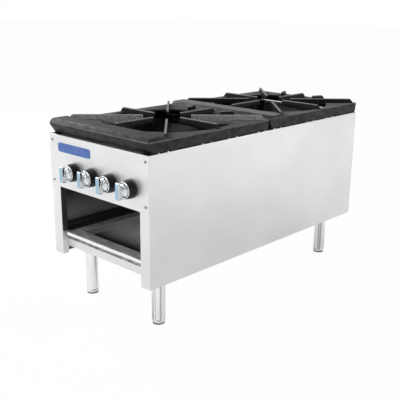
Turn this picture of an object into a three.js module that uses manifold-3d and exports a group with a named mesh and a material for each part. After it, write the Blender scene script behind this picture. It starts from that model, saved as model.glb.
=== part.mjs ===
// Open-front gas stock pot range, two burner sections deep.
// Millimetres, +Z up, front towards -Y. Written with x = 0 on the centre line, y = 0 midway
// between the two sections and z = 0 on the floor; the last group moves y = 0 to the middle
// of the whole depth, knobs and gas inlet included.

import * as THREE from 'three';
import { mergeVertices } from 'three/addons/utils/BufferGeometryUtils.js';
import Module from 'manifold-3d';

const wasm = await Module();
wasm.setup();

// ---------------------------------------------------------------- driving dimensions

const seat = 0.3; // running or resting gap kept between neighbouring pieces
const sheet = 1.5; // stainless sheet of the casing
const bar = 2; // heavier folded steel of the base and the cross bars
const bury = 1; // how deep a shape runs into the one it is joined to or cut from
const through = 20; // length of the tools that open a hole in a sheet

const casing = {
  width: 457.2, depth: 1060, bottom: 155,
  stile: 40, stileReturn: 22, topFlange: 36, bottomFlange: 20, rearFlange: 20,
};
const panel = { bayHeight: 153, topReturn: 34, bottomReturn: 20, stemHole: 8 };
const badge = { width: 158, height: 29, thickness: 1.2, corner: 5, fromLeft: 43.5, fromTop: 22.5 };
const screw = {
  headRadius: 4.5, headHeight: 2.6, rimHeight: 1, topRadius: 2.7, shankRadius: 2.1, shankLength: 12,
  fromSide: 13, fromEdge: 18,
};
const apron = { raised: 24, height: 33, flange: 20 };

const leg = {
  radius: 20.65, wall: 1.75, fromSide: 66, fromEnd: 95, plate: 70, plateThickness: 4, insert: 20,
};
const foot = { radius: 19.3, height: 15, bevel: 3, stemRadius: 5, stemLength: 60 };
const baseChannel = { width: 90, height: 22, above: 8 }; // above the bottom edge of the casing

const tray = {
  width: 360, rise: 20, clear: 1.5, front: 13, rearGap: 35,
  sideFlange: 33, frontFlange: 40, rearFlange: 25, lip: 12,
};
const rail = { overlap: 15, upstand: 20, frontGap: 6, rearGap: 30 };

const grate = {
  gap: 3, standOff: 3.5, draft: 2, frontUndercut: 17, undercutTop: 33, rimTop: 36, wall: 8, deck: 9,
  sideRim: 19.6, rearRim: 28, ledgeTop: 47, ledgeDepth: 80, ledgeFront: 10, ledgeRear: 12,
  ledgeEnd: 2, nose: 2, studRadius: 4, studSpread: 0.34,
};
const fin = {
  top: 52, topWidth: 7, rootWidth: 13, tipDepth: 16, rootDepth: 30, tipRadius: 60, cornerTipRadius: 77,
  sideInset: 3, rearInset: 12, cornerInset: 4, bevel: 12, deepBefore: 40,
  shortTipRadius: 188, shortAngle: 22.5, shortDeepBefore: 5,
};

const burner = {
  aboveKnobs: 55.3, belowTop: 50.7, ringHeight: 24, ringHalf: 11, chamfer: 5,
  innerRadius: 45, middleRadius: 82, outerRadius: 125, armWidth: 12, armHeight: 19, lugHeight: 5,
  tubeRadius: 12, mouthRadius: 18, mouthLength: 20, mouthBore: 11, mouthDepth: 15,
  straight: 14, outerPort: 108, innerPort: 22, bend: 28, mouthFromCentre: 217,
};
const restBar = { fromCentre: 100, width: 24, drop: 25 };
const crossBar = { width: 60, drop: 25 };

const knob = {
  fromRight: 76.7, pitch: 86.6, abovePanelEdge: 60, count: 4,
  panelGap: 2, radius: 28, bandLength: 7.7, faceRadius: 27, length: 22, stemBore: 4.4, stemDepth: 17,
  dialRadius: 24.5, dialThickness: 2.7, bellRadius: 17, bellRise: 7, neckRadius: 10, bellLength: 11,
  gripHeight: 50, gripWidth: 14, gripReach: 27, gripTopDepth: 8, gripFootDepth: 21,
};
const stem = { radius: 4.1, insertion: 13.5 };
const valve = {
  bonnetRadius: 12, bonnetLength: 21, bodyRadius: 15, bodyLength: 38, hoodRadius: 8, hoodLength: 22,
  legRadius: 9, stemBoreDepth: 14,
};
const pipe = {
  radius: 13.35, bore: 10.5, below: 40, cornerX: 33.6, fittingRadius: 17, fittingLength: 25,
  socket: 12, endGap: 3.7, capWall: 4, inletLength: 18,
};
const feed = {
  radius: 6.35, nutRadius: 9, nutLength: 16, bend: 40, orificeLength: 30, jogStart: 300, jogEnd: 210,
};
const bracket = { setBack: 20, height: 30, foot: 20, above: 13 };
const pilot = {
  radius: 3.2, hoodRadius: 7, hoodHeight: 14, clear: 6, bend: 12, frontBeside: 43.7, rearBeside: 21.7,
  aboveBase: 29.7,
};

// ---------------------------------------------------------------- places worked out from them

// heights, from the floor up
const apronBottom = casing.bottom + apron.raised;
const apronTop = apronBottom + apron.height;
const trayTop = apronTop + tray.rise;
const trayFloor = apronTop + tray.clear;
const panelBottom = trayTop + panel.bayHeight;
const knobHeight = panelBottom + knob.abovePanelEdge;
const burnerBase = knobHeight + burner.aboveKnobs;
const casingTop = burnerBase + burner.belowTop;

const halfWidth = casing.width / 2;
const frontY = -casing.depth / 2;
const rearY = casing.depth / 2;
const innerX = halfWidth - sheet - seat; // where cross members meet the side panels
const stileX = halfWidth - casing.stile; // inner edge of the front stile
const stileFront = frontY + sheet + seat; // stiles lie just behind the control panel
const rearFlangeY = rearY - sheet - seat; // rear flanges lie just in front of the back panel
const grateLength = (casing.depth - grate.gap) / 2;
const openingRadius = halfWidth - grate.sideRim;
const openingShift = grateLength / 2 - grate.rearRim - openingRadius; // from the grate's middle
const sections = [-1, 1].map((end) => ({
  name: end < 0 ? 'front' : 'rear',
  grateY: end * (grateLength + grate.gap) / 2,
  burnerY: end * (grateLength + grate.gap) / 2 + openingShift,
  mirror: -end, // the rear casting is the front one mirrored, so its tubes pass the front one
}));
const knobXs = Array.from({ length: knob.count }, (_, i) => (
  halfWidth - knob.fromRight - (knob.count - 1 - i) * knob.pitch));
const manifoldY = frontY + sheet + seat + valve.bonnetLength + valve.bodyLength / 2;
const manifoldZ = knobHeight - pipe.below;
const pipeCorner = -(halfWidth - pipe.cornerX);
const pipeEnd = knobXs[knob.count - 1] + valve.bodyRadius + pipe.socket + pipe.endGap;
const hoodTip = frontY + sheet + seat + valve.bonnetLength + valve.bodyLength + valve.hoodLength;
const hoodEntry = 3; // how far a gas orifice reaches into a burner's mixing tube
const mouthYs = [hoodTip - hoodEntry, sections[1].burnerY - burner.mouthFromCentre];

// ---------------------------------------------------------------- solids

function solid(geometry) {
  const bare = geometry.clone();
  bare.deleteAttribute('normal');
  bare.deleteAttribute('uv');
  const merged = mergeVertices(bare, 1e-4);
  const index = merged.getIndex().array;
  const kept = [];
  for (let i = 0; i < index.length; i += 3) {
    const [a, b, c] = [index[i], index[i + 1], index[i + 2]];
    if (a !== b && b !== c && c !== a) kept.push(a, b, c);
  }
  const vertProperties = new Float32Array(merged.getAttribute('position').array);
  return new wasm.Manifold(new wasm.Mesh({ numProp: 3, vertProperties, triVerts: new Uint32Array(kept) }));
}

function surface(body) {
  const mesh = body.getMesh();
  const geometry = new THREE.BufferGeometry();
  geometry.setAttribute('position', new THREE.BufferAttribute(new Float32Array(mesh.vertProperties), 3));
  geometry.setIndex(new THREE.BufferAttribute(new Uint32Array(mesh.triVerts), 1));
  geometry.computeVertexNormals();
  return geometry;
}

const join = (...bodies) => bodies.flat().reduce((sum, body) => sum.add(body));
const cut = (body, ...tools) => tools.flat().reduce((rest, tool) => rest.subtract(tool), body);

// a block between two values on each axis, in either order
function block([x0, x1], [y0, y1], [z0, z1]) {
  const geometry = new THREE.BoxGeometry(Math.abs(x1 - x0), Math.abs(y1 - y0), Math.abs(z1 - z0));
  geometry.translate((x0 + x1) / 2, (y0 + y1) / 2, (z0 + z1) / 2);
  return solid(geometry);
}

// a block whose bottom and top rectangles differ: each is [[x0, x1], [y0, y1], z]
function taperedBlock(bottom, top) {
  const corners = [bottom, top].flatMap(([[x0, x1], [y0, y1], z]) => [
    [x0, y0, z], [x1, y0, z], [x1, y1, z], [x0, y1, z]]).flat();
  const geometry = new THREE.BufferGeometry();
  geometry.setAttribute('position', new THREE.BufferAttribute(new Float32Array(corners), 3));
  geometry.setIndex([0, 2, 1, 0, 3, 2, 4, 5, 6, 4, 6, 7, 0, 1, 5, 0, 5, 4,
    1, 2, 6, 1, 6, 5, 2, 3, 7, 2, 7, 6, 3, 0, 4, 3, 4, 7]);
  return solid(geometry);
}

// a turned solid about Z from [radius, height] points that start and end on the axis or close up
function turned(points, sides = 24) {
  const outline = points.map(([r, z]) => new THREE.Vector2(r, z));
  const geometry = new THREE.LatheGeometry(outline, sides);
  geometry.rotateX(Math.PI / 2);
  return solid(geometry);
}

// the same, lying along -Y, so that heights run towards the front
const turnedForward = (points, sides) => turned(points, sides).rotate([90, 0, 0]);
// the same, lying along +X
const turnedSideways = (points, sides) => turned(points, sides).rotate([0, 90, 0]);

const rod = (radius, z0, z1) => [[0, z0], [radius, z0], [radius, z1], [0, z1]];
const tube = (outer, inner, z0, z1) => [[inner, z0], [outer, z0], [outer, z1], [inner, z1], [inner, z0]];

// a flat outline pushed along Z
function plate(shape, thickness) {
  const settings = { depth: thickness, bevelEnabled: false, curveSegments: 4 };
  return solid(new THREE.ExtrudeGeometry(shape, settings));
}

// a path with one section at each of its points
class StationPath extends THREE.Curve {
  constructor(stations) {
    super();
    this.stations = stations;
  }

  getPointAt(t, target = new THREE.Vector3()) {
    return target.copy(this.stations[Math.round(t * (this.stations.length - 1))]);
  }

  getTangentAt(t, target = new THREE.Vector3()) {
    const last = this.stations.length - 1;
    const i = Math.round(t * last);
    const before = this.stations[Math.max(i - 1, 0)];
    const after = this.stations[Math.min(i + 1, last)];
    const here = this.stations[i];
    if (i > 0) target.subVectors(here, before).normalize();
    else target.set(0, 0, 0);
    if (i < last) target.add(after.clone().sub(here).normalize());
    return target.normalize();
  }
}

// a round bar bent along straight runs, each corner rounded to the bend radius
function bentBar(points, radius, bend, sides = 8) {
  const cornerShare = 0.45; // the most of a run that one bend may take
  const corners = points.map((p) => new THREE.Vector3(...p));
  const stations = [corners[0]];
  for (let i = 1; i < corners.length - 1; i++) {
    const back = corners[i - 1].clone().sub(corners[i]);
    const ahead = corners[i + 1].clone().sub(corners[i]);
    const turn = Math.PI - back.angleTo(ahead);
    if (turn < 0.01) continue;
    const room = Math.min(back.length(), ahead.length()) * cornerShare;
    const reach = Math.min(bend * Math.tan(turn / 2), room);
    const start = corners[i].clone().addScaledVector(back.normalize(), reach);
    const end = corners[i].clone().addScaledVector(ahead.normalize(), reach);
    const arc = new THREE.QuadraticBezierCurve3(start, corners[i], end);
    stations.push(...arc.getPoints(4));
  }
  stations.push(corners[corners.length - 1]);
  const ring = new THREE.Shape();
  for (let k = 0; k < sides; k++) {
    const a = (k + 0.5) * 2 * Math.PI / sides;
    const r = radius / Math.cos(Math.PI / sides);
    if (k) ring.lineTo(r * Math.cos(a), r * Math.sin(a));
    else ring.moveTo(r * Math.cos(a), r * Math.sin(a));
  }
  const extrudePath = new StationPath(stations);
  const steps = stations.length - 1;
  return solid(new THREE.ExtrudeGeometry(ring, { steps, extrudePath, bevelEnabled: false }));
}

// ---------------------------------------------------------------- finishes and the group

const finish = (color, roughness, metalness) => (
  new THREE.MeshStandardMaterial({ color, roughness, metalness }));
const finishes = {
  stainless: finish(0xe4e6e8, 0.3, 1),
  liner: finish(0x8d9092, 0.45, 1),
  castIron: finish(0x3a3b3d, 0.7, 0.2),
  brass: finish(0xb99a56, 0.4, 1),
  steelPipe: finish(0x55575a, 0.55, 0.8),
  bakelite: finish(0x17181a, 0.4, 0),
  chrome: finish(0xd9e2ea, 0.12, 1),
  blueEnamel: finish(0x3f63b5, 0.35, 0),
};

const range = new THREE.Group();
range.position.y = ((knob.panelGap + knob.length + seat + knob.gripReach) - pipe.inletLength) / 2;

function add(name, body, material, at = [0, 0, 0]) {
  const mesh = new THREE.Mesh(surface(body), finishes[material]);
  mesh.name = name;
  mesh.position.set(...at);
  range.add(mesh);
}

// ---------------------------------------------------------------- casing

const screwSpots = [-1, 1].flatMap((side) => [panelBottom + screw.fromEdge, casingTop - screw.fromEdge]
  .map((z) => [side * (halfWidth - screw.fromSide), z]));
const screwHole = turnedForward(rod(screw.shankRadius + seat, -through / 2, through / 2), 8);
const screwHoles = screwSpots.map(([x, z]) => screwHole.translate([x, frontY, z]));

function sidePanel(side) {
  const x = (inset) => side * (halfWidth - inset);
  const tall = [casing.bottom, casingTop];
  const long = [stileFront, rearFlangeY];
  return cut(join(
    block([x(0), x(sheet)], long, tall),
    block([x(0), x(casing.topFlange)], long, [casingTop - sheet, casingTop]),
    block([x(0), x(casing.bottomFlange)], long, [casing.bottom, casing.bottom + sheet]),
    block([x(0), x(casing.stile)], [stileFront, stileFront + sheet], tall),
    block([x(casing.stile - sheet), x(casing.stile)], [stileFront, stileFront + casing.stileReturn], tall),
    block([x(0), x(casing.rearFlange)], [rearFlangeY - sheet, rearFlangeY], tall),
  ), screwHoles);
}
add('left_side_panel', sidePanel(-1), 'stainless');
add('right_side_panel', sidePanel(1), 'stainless');

const returnX = stileX - seat; // half length of the returns between the stiles
const supplyHole = turnedForward(rod(pipe.radius + seat, -through / 2, through / 2), 16)
  .translate([pipeCorner, rearY, manifoldZ]);
add('back_panel', cut(join(
  block([-halfWidth, halfWidth], [rearY - sheet, rearY], [casing.bottom, casingTop]),
  block([-returnX, returnX], [rearY - panel.topReturn, rearY], [casingTop - sheet, casingTop]),
), supplyHole), 'stainless');

const stemHole = turnedForward(rod(panel.stemHole, -through / 2, through / 2), 12);
const stemHoles = knobXs.map((x) => stemHole.translate([x, frontY, knobHeight]));
add('control_panel', cut(join(
  block([-halfWidth, halfWidth], [frontY, frontY + sheet], [panelBottom, casingTop]),
  block([-returnX, returnX], [frontY, frontY + panel.topReturn], [casingTop - sheet, casingTop]),
  block([-returnX, returnX], [frontY, frontY + panel.bottomReturn], [panelBottom, panelBottom + sheet]),
), stemHoles, screwHoles), 'stainless');

function roundedRectangle(width, height, radius) {
  const [w, h, quarter] = [width / 2 - radius, height / 2 - radius, Math.PI / 2];
  const shape = new THREE.Shape();
  shape.absarc(w, h, radius, 0, quarter);
  shape.absarc(-w, h, radius, quarter, 2 * quarter);
  shape.absarc(-w, -h, radius, 2 * quarter, 3 * quarter);
  shape.absarc(w, -h, radius, 3 * quarter, 4 * quarter);
  return shape;
}
const badgeX = badge.fromLeft + badge.width / 2 - halfWidth;
const badgeZ = casingTop - badge.fromTop - badge.height / 2;
add('badge_plate',
  plate(roundedRectangle(badge.width, badge.height, badge.corner), badge.thickness).rotate([90, 0, 0]),
  'blueEnamel', [badgeX, frontY - seat, badgeZ]);

const { headRadius, headHeight, rimHeight, topRadius, shankRadius, shankLength } = screw;
const screwBody = turnedForward([[0, -shankLength], [shankRadius, -shankLength], [shankRadius, 0],
  [headRadius, 0], [headRadius, rimHeight], [topRadius, headHeight], [0, headHeight]], 10);
screwSpots.forEach(([x, z], i) => {
  add(`panel_screw_${i + 1}`, screwBody, 'chrome', [x, frontY - seat, z]);
});

const apronFront = stileFront + casing.stileReturn + seat;
add('front_apron', join(
  block([-innerX, innerX], [apronFront, apronFront + sheet], [apronBottom, apronTop]),
  ...[[apronBottom, apronBottom + sheet], [apronTop - sheet, apronTop]].map((z) => (
    block([-innerX, innerX], [apronFront, apronFront + apron.flange], z))),
), 'stainless');

const crossTop = casingTop - sheet - seat;
add('centre_cross_bar', join(
  block([-innerX, innerX], [-crossBar.width / 2, crossBar.width / 2], [crossTop - bar, crossTop]),
  ...[-1, 1].map((end) => block([-innerX, innerX],
    [end * crossBar.width / 2, end * (crossBar.width / 2 - bar)], [crossTop - crossBar.drop, crossTop])),
), 'liner');

// ---------------------------------------------------------------- base, legs and feet

const channelBottom = casing.bottom + baseChannel.above;
const legTop = channelBottom - seat;
const legSpots = [-1, 1].flatMap((end) => [-1, 1].map((side) => ({
  name: `${end < 0 ? 'front' : 'rear'}_${side < 0 ? 'left' : 'right'}`,
  at: [side * (halfWidth - leg.fromSide), end * (casing.depth / 2 - leg.fromEnd), 0],
})));

for (const [name, end] of [['front_base_channel', -1], ['rear_base_channel', 1]]) {
  const y = end * (casing.depth / 2 - leg.fromEnd);
  const [near, far] = [y - baseChannel.width / 2, y + baseChannel.width / 2];
  const tall = [channelBottom, channelBottom + baseChannel.height];
  add(name, join(
    block([-innerX, innerX], [near, far], [channelBottom, channelBottom + bar]),
    block([-innerX, innerX], [near, near + bar], tall),
    block([-innerX, innerX], [far - bar, far], tall),
  ), 'liner');
}

const tubeBottom = foot.height + seat;
const legInner = leg.radius - leg.wall;
const stemClear = foot.stemRadius + seat;
const legTube = turned([[stemClear, tubeBottom], [leg.radius, tubeBottom], [leg.radius, legTop - bury],
  [legInner, legTop - bury], [legInner, tubeBottom + leg.insert], [stemClear, tubeBottom + leg.insert],
  [stemClear, tubeBottom]], 18);
const legPlate = block([-leg.plate / 2, leg.plate / 2], [-leg.plate / 2, leg.plate / 2],
  [legTop - leg.plateThickness, legTop]);
const footBody = turned([[0, 0], [foot.radius, 0], [foot.radius, foot.height - foot.bevel],
  [foot.radius - foot.bevel, foot.height], [foot.stemRadius, foot.height],
  [foot.stemRadius, foot.height + foot.stemLength], [0, foot.height + foot.stemLength]], 18);
for (const { name, at } of legSpots) {
  add(`${name}_leg`, join(legTube, legPlate), 'stainless', at);
  add(`${name}_foot`, footBody, 'stainless', at);
}

// ---------------------------------------------------------------- drip tray on its rails

const trayX = tray.width / 2;
const trayFront = frontY + tray.front;
const trayRear = rearY - tray.rearGap;
const basinX = trayX - tray.sideFlange;
const basinFront = trayFront + tray.frontFlange;
const basinRear = trayRear - tray.rearFlange;
add('drip_tray', join(
  cut(
    block([-trayX, trayX], [trayFront, trayRear], [trayTop - sheet, trayTop]),
    block([-basinX, basinX], [basinFront, basinRear], [trayTop - through / 2, trayTop + through / 2]),
  ),
  cut(
    block([-basinX - sheet, basinX + sheet], [basinFront - sheet, basinRear + sheet], [trayFloor, trayTop]),
    block([-basinX, basinX], [basinFront, basinRear], [trayFloor + sheet, trayTop + through / 2]),
  ),
  block([-trayX, trayX], [trayFront, trayFront + sheet], [trayTop - tray.lip, trayTop]),
), 'liner');

const railTop = trayTop - sheet - seat;
for (const [name, side] of [['left_tray_rail', -1], ['right_tray_rail', 1]]) {
  const long = [stileFront + casing.stileReturn + rail.frontGap, rearY - rail.rearGap];
  add(name, join(
    block([side * innerX, side * (trayX - rail.overlap)], long, [railTop - sheet, railTop]),
    block([side * innerX, side * (innerX - sheet)], long, [railTop - sheet, railTop + rail.upstand]),
  ), 'liner');
}

// ---------------------------------------------------------------- grates

// a radial rib: its tip hangs over the opening, its outer end slopes down to its foot on the rim,
// and its sides draw in from root to top
function rib(angle, tipRadius, footRadius, deepRadius) {
  const { top, tipDepth, rootDepth, rootWidth, topWidth } = fin;
  const outline = new THREE.Shape();
  outline.moveTo(tipRadius, top);
  outline.lineTo(tipRadius, top - tipDepth);
  outline.lineTo(Math.max(deepRadius, tipRadius + bury), top - rootDepth);
  outline.lineTo(footRadius, top - rootDepth);
  outline.lineTo(footRadius, grate.rimTop);
  outline.lineTo(footRadius - fin.bevel, top);
  outline.closePath();
  const upright = plate(outline, rootWidth).rotate([90, 0, 0]).translate([0, rootWidth / 2, 0]);
  const wedge = taperedBlock(
    [[0, footRadius + bury], [-rootWidth / 2, rootWidth / 2], top - rootDepth],
    [[0, footRadius + bury], [-topWidth / 2, topWidth / 2], top],
  );
  return upright.intersect(wedge).rotate([0, 0, angle]);
}

function grateCasting() {
  const { standOff, draft, frontUndercut, undercutTop, rimTop, wall, deck, ledgeTop } = grate;
  const [w, l] = [halfWidth, grateLength / 2];
  // a level rectangle drawn in from the casting's outline, the front edge by its own amount
  const level = (inset, front, z) => [[-w + inset, w - inset], [-l + front, l - inset], z];
  const underDeck = rimTop - deck;
  const frontUnderDeck = frontUndercut * (undercutTop - underDeck) / (undercutTop - standOff);
  const shell = cut(
    join(
      taperedBlock(level(draft, frontUndercut, standOff), level(0, 0, undercutTop)),
      block([-w, w], [-l, l], [undercutTop - bury, rimTop]),
    ),
    taperedBlock(
      level(draft + wall, frontUndercut + wall, standOff - bury),
      level(draft + wall, frontUnderDeck + wall, underDeck),
    ),
  );
  const ledgeEnds = [-w + grate.ledgeEnd, w - grate.ledgeEnd];
  const ledge = taperedBlock(
    [[-w, w], [-l - grate.nose, -l + grate.ledgeDepth], undercutTop - bury],
    [ledgeEnds, [-l + grate.ledgeFront, -l + grate.ledgeDepth - grate.ledgeRear], ledgeTop],
  );
  const opening = turned(rod(openingRadius, underDeck - bury, fin.top + bury), 48)
    .translate([0, openingShift, 0]);
  const reachX = w - fin.sideInset;
  const reachY = l - fin.rearInset - openingShift;
  const deep = openingRadius - fin.deepBefore;
  const corner = Math.atan2(reachY, reachX) * 180 / Math.PI;
  const longRibs = [0, 90, 180, 270].map((angle) => (
    rib(angle, fin.tipRadius, angle % 180 ? reachY : reachX, deep)));
  const cornerReach = Math.hypot(reachX, reachY) - fin.cornerInset;
  const cornerRibs = [corner, 180 - corner, 180 + corner, -corner].map((angle) => (
    rib(angle, fin.cornerTipRadius, cornerReach, deep)));
  const shortReach = reachY / Math.cos(fin.shortAngle * Math.PI / 180);
  const shortRibs = [90 - fin.shortAngle, 90 + fin.shortAngle].map((angle) => (
    rib(angle, fin.shortTipRadius, shortReach, openingRadius - fin.shortDeepBefore)));
  const ribs = join(longRibs, cornerRibs, shortRibs).translate([0, openingShift, 0]);
  const studX = w - draft - wall / 2;
  const studYs = [-l + frontUndercut + wall / 2, -grate.studSpread * l, grate.studSpread * l,
    l - draft - wall / 2];
  const stud = turned(rod(grate.studRadius, seat, standOff + bury), 8);
  const studs = [-studX, studX].flatMap((x) => studYs.map((y) => stud.translate([x, y, 0])));
  return join(cut(join(shell, ledge), opening), ribs, studs);
}
const casting = grateCasting();
for (const section of sections) {
  add(`${section.name}_grate`, casting, 'castIron', [0, section.grateY, casingTop]);
}

// ---------------------------------------------------------------- burners and what they rest on

function ring(radius, z0, z1) {
  const [near, far, c] = [radius - burner.ringHalf, radius + burner.ringHalf, burner.chamfer];
  const outline = [[near, z0], [far, z0], [far, z1 - c], [far - c, z1], [near + c, z1], [near, z1 - c]];
  return turned([...outline, outline[0]], 28);
}

// the mixing tube from its mouth, back at knob height, then up into the ring above
function mixingTube(mouthX, mouthY, portX, portY, ringBottom) {
  const { tubeRadius, mouthRadius, mouthLength, mouthBore, mouthDepth } = burner;
  const jog = mouthY + mouthLength + burner.straight;
  const run = bentBar([
    [mouthX, mouthY + bury, knobHeight],
    [mouthX, jog, knobHeight],
    [portX, (jog + portY) / 2, knobHeight],
    [portX, portY, knobHeight],
    [portX, portY, ringBottom + bury],
  ], tubeRadius, burner.bend);
  const at = [mouthX, mouthY, knobHeight];
  const mouth = turnedForward(rod(mouthRadius, -mouthLength, 0), 14).translate(at);
  const bore = turnedForward(rod(mouthBore, -mouthDepth, bury), 12).translate(at);
  return cut(join(run, mouth), bore);
}

sections.forEach((section, i) => {
  const y = section.burnerY;
  const { innerRadius, middleRadius, outerRadius, ringHeight, ringHalf } = burner;
  const { armWidth, armHeight, lugHeight } = burner;
  const portY = (portX, radius) => y - Math.sqrt(Math.max(radius ** 2 - portX ** 2, 0));
  const outerPort = -section.mirror * burner.outerPort;
  const innerPort = -section.mirror * burner.innerPort;
  const mouths = i ? [outerPort, innerPort] : [knobXs[0], knobXs[1]];
  const across = [-armWidth / 2, armWidth / 2];
  const lugStart = innerRadius - ringHalf + 2 * bury;
  const arms = [0, 90, 180, 270].map((angle) => join(
    block([middleRadius, outerRadius], across, [burnerBase, burnerBase + armHeight]),
    block([lugStart, middleRadius], across, [burnerBase, burnerBase + lugHeight]),
  ).rotate([0, 0, angle]));
  const rings = [middleRadius, outerRadius].map(
    (radius) => ring(radius, burnerBase, burnerBase + ringHeight),
  );
  add(`${section.name}_outer_burner`, join(
    join(rings, arms).translate([0, y, 0]),
    mixingTube(mouths[0], mouthYs[i], outerPort, portY(burner.outerPort, outerRadius), burnerBase),
  ), 'castIron');
  const innerBase = burnerBase + lugHeight + seat;
  add(`${section.name}_inner_burner`, join(
    ring(innerRadius, innerBase, burnerBase + ringHeight).translate([0, y, 0]),
    mixingTube(mouths[1], mouthYs[i], innerPort, portY(burner.innerPort, innerRadius), innerBase),
  ), 'castIron');
  for (const [place, end] of [['front', -1], ['rear', 1]]) {
    const barY = y + end * restBar.fromCentre;
    const top = burnerBase - seat;
    add(`${section.name}_burner_${place}_rest`, join(
      block([-innerX, innerX], [barY - restBar.width / 2, barY + restBar.width / 2], [top - bar, top]),
      block([-innerX, innerX], [barY + end * restBar.width / 2, barY + end * (restBar.width / 2 - bar)],
        [top - restBar.drop, top]),
    ), 'liner');
  }
});

// ---------------------------------------------------------------- gas line

const socketGap = pipe.fittingLength - pipe.socket + seat;
const socketBore = pipe.radius + seat;
const elbow = join(
  turnedForward(rod(pipe.fittingRadius, -pipe.fittingLength, 0), 16),
  turnedSideways(rod(pipe.fittingRadius, 0, pipe.fittingLength), 16),
  solid(new THREE.SphereGeometry(pipe.fittingRadius, 16, 8)),
);
const elbowBores = [
  turnedForward(rod(socketBore, -pipe.fittingLength - bury, -pipe.fittingLength + pipe.socket), 16),
  turnedSideways(rod(socketBore, pipe.fittingLength - pipe.socket, pipe.fittingLength + bury), 16),
];
add('supply_elbow', cut(elbow, elbowBores), 'steelPipe', [pipeCorner, manifoldY, manifoldZ]);

const manifoldRun = tube(pipe.radius, pipe.bore, pipeCorner + socketGap, pipeEnd - seat);
add('manifold_pipe', turnedSideways(manifoldRun, 16), 'steelPipe', [0, manifoldY, manifoldZ]);
const capMouth = pipeEnd - pipe.socket;
const capEnd = pipeEnd + pipe.capWall;
add('manifold_cap', turnedSideways([[0, pipeEnd], [socketBore, pipeEnd], [socketBore, capMouth],
  [pipe.fittingRadius, capMouth], [pipe.fittingRadius, capEnd], [0, capEnd]], 16),
'steelPipe', [0, manifoldY, manifoldZ]);
const supplyRun = tube(pipe.radius, pipe.bore, -rearY - pipe.inletLength, -manifoldY - socketGap);
add('gas_supply_pipe', turnedForward(supplyRun, 16), 'steelPipe', [pipeCorner, 0, manifoldZ]);

const bodyStart = -valve.bonnetLength;
const bodyEnd = bodyStart - valve.bodyLength;
const hoodEnd = bodyEnd - valve.hoodLength;
const valveBody = cut(
  join(
    turnedForward([[0, hoodEnd], [valve.hoodRadius, hoodEnd], [valve.hoodRadius, bodyEnd],
      [valve.bodyRadius, bodyEnd], [valve.bodyRadius, bodyStart], [valve.bonnetRadius, bodyStart],
      [valve.bonnetRadius, 0], [0, 0]], 14),
    turned(rod(valve.legRadius, -pipe.below + pipe.radius + seat, 0), 10)
      .translate([0, valve.bonnetLength + valve.bodyLength / 2, 0]),
  ),
  turnedForward(rod(knob.stemBore, -valve.stemBoreDepth, bury), 12),
);
const knobRear = frontY - knob.panelGap;
const stemRear = stileFront + stem.insertion;
const stemFront = knobRear - knob.stemDepth + seat;
const stemRod = turnedForward(rod(stem.radius, -stemRear, -stemFront), 12);
const knobSkirt = turnedForward([[knob.stemBore, 0], [knob.radius, 0], [knob.radius, knob.bandLength],
  [knob.faceRadius, knob.length], [0, knob.length], [0, knob.stemDepth], [knob.stemBore, knob.stemDepth],
  [knob.stemBore, 0]], 20);

function knobGrip() {
  const { dialRadius, dialThickness, bellRadius, bellRise, neckRadius, bellLength } = knob;
  const { gripReach, gripTopDepth, gripFootDepth, gripHeight, gripWidth } = knob;
  const neckEnd = gripReach - gripTopDepth / 2;
  const dial = turnedForward([[0, 0], [dialRadius, 0], [dialRadius, dialThickness],
    [bellRadius, bellRise], [neckRadius, bellLength], [neckRadius, neckEnd], [0, neckEnd]], 20);
  // the blade from the side: the first axis points forward and the second one up
  const profile = new THREE.Shape();
  profile.moveTo(gripReach - gripFootDepth, -gripHeight / 2);
  profile.lineTo(gripReach, -gripHeight / 2);
  profile.lineTo(gripReach, gripHeight / 2);
  profile.lineTo(gripReach - gripTopDepth, gripHeight / 2);
  profile.closePath();
  const blade = plate(profile, gripWidth).rotate([90, 0, 0]).rotate([0, 0, -90])
    .translate([gripWidth / 2, 0, 0]);
  return join(dial, blade);
}

const grip = knobGrip();
knobXs.forEach((x, i) => {
  add(`gas_valve_${i + 1}`, valveBody, 'brass', [x, stileFront, knobHeight]);
  add(`valve_stem_${i + 1}`, stemRod, 'steelPipe', [x, 0, knobHeight]);
  add(`knob_${i + 1}_skirt`, knobSkirt, 'bakelite', [x, knobRear, knobHeight]);
  add(`knob_${i + 1}_grip`, grip, 'chrome', [x, knobRear - knob.length - seat, knobHeight]);
});

// feed tubes from the two right-hand valves to the rear burner's mixing tubes
const bracketY = mouthYs[1] - bracket.setBack;
const rearPorts = [burner.innerPort, burner.outerPort];
const bracketTop = knobHeight + bracket.above;
const feedStart = hoodTip + seat;
const feedEnd = mouthYs[1] + hoodEntry;
const feedNut = turnedForward(rod(feed.nutRadius, -feedStart - feed.nutLength, -feedStart), 12);
const feedOrifice = turnedForward(rod(valve.hoodRadius, -feedEnd, -feedEnd + feed.orificeLength), 12);
['inner', 'outer'].forEach((name, i) => {
  const [fromX, toX] = [knobXs[2 + i], rearPorts[i]];
  add(`rear_${name}_feed_tube`, join(
    feedNut.translate([fromX, 0, knobHeight]),
    bentBar([
      [fromX, feedStart + bury, knobHeight],
      [fromX, feedEnd - feed.jogStart, knobHeight],
      [toX, feedEnd - feed.jogEnd, knobHeight],
      [toX, feedEnd - bury, knobHeight],
    ], feed.radius, feed.bend),
    feedOrifice.translate([toX, 0, knobHeight]),
  ), 'steelPipe');
});
const orificeHole = turnedForward(rod(valve.hoodRadius + seat, -through / 2, through / 2), 12);
add('orifice_bracket', cut(
  join(
    block([-innerX, innerX], [bracketY, bracketY + bar], [bracketTop - bracket.height, bracketTop]),
    block([-innerX, innerX], [bracketY, bracketY + bracket.foot],
      [bracketTop - bracket.height, bracketTop - bracket.height + bar]),
  ),
  rearPorts.map((x) => orificeHole.translate([x, bracketY, knobHeight])),
), 'liner');

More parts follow.
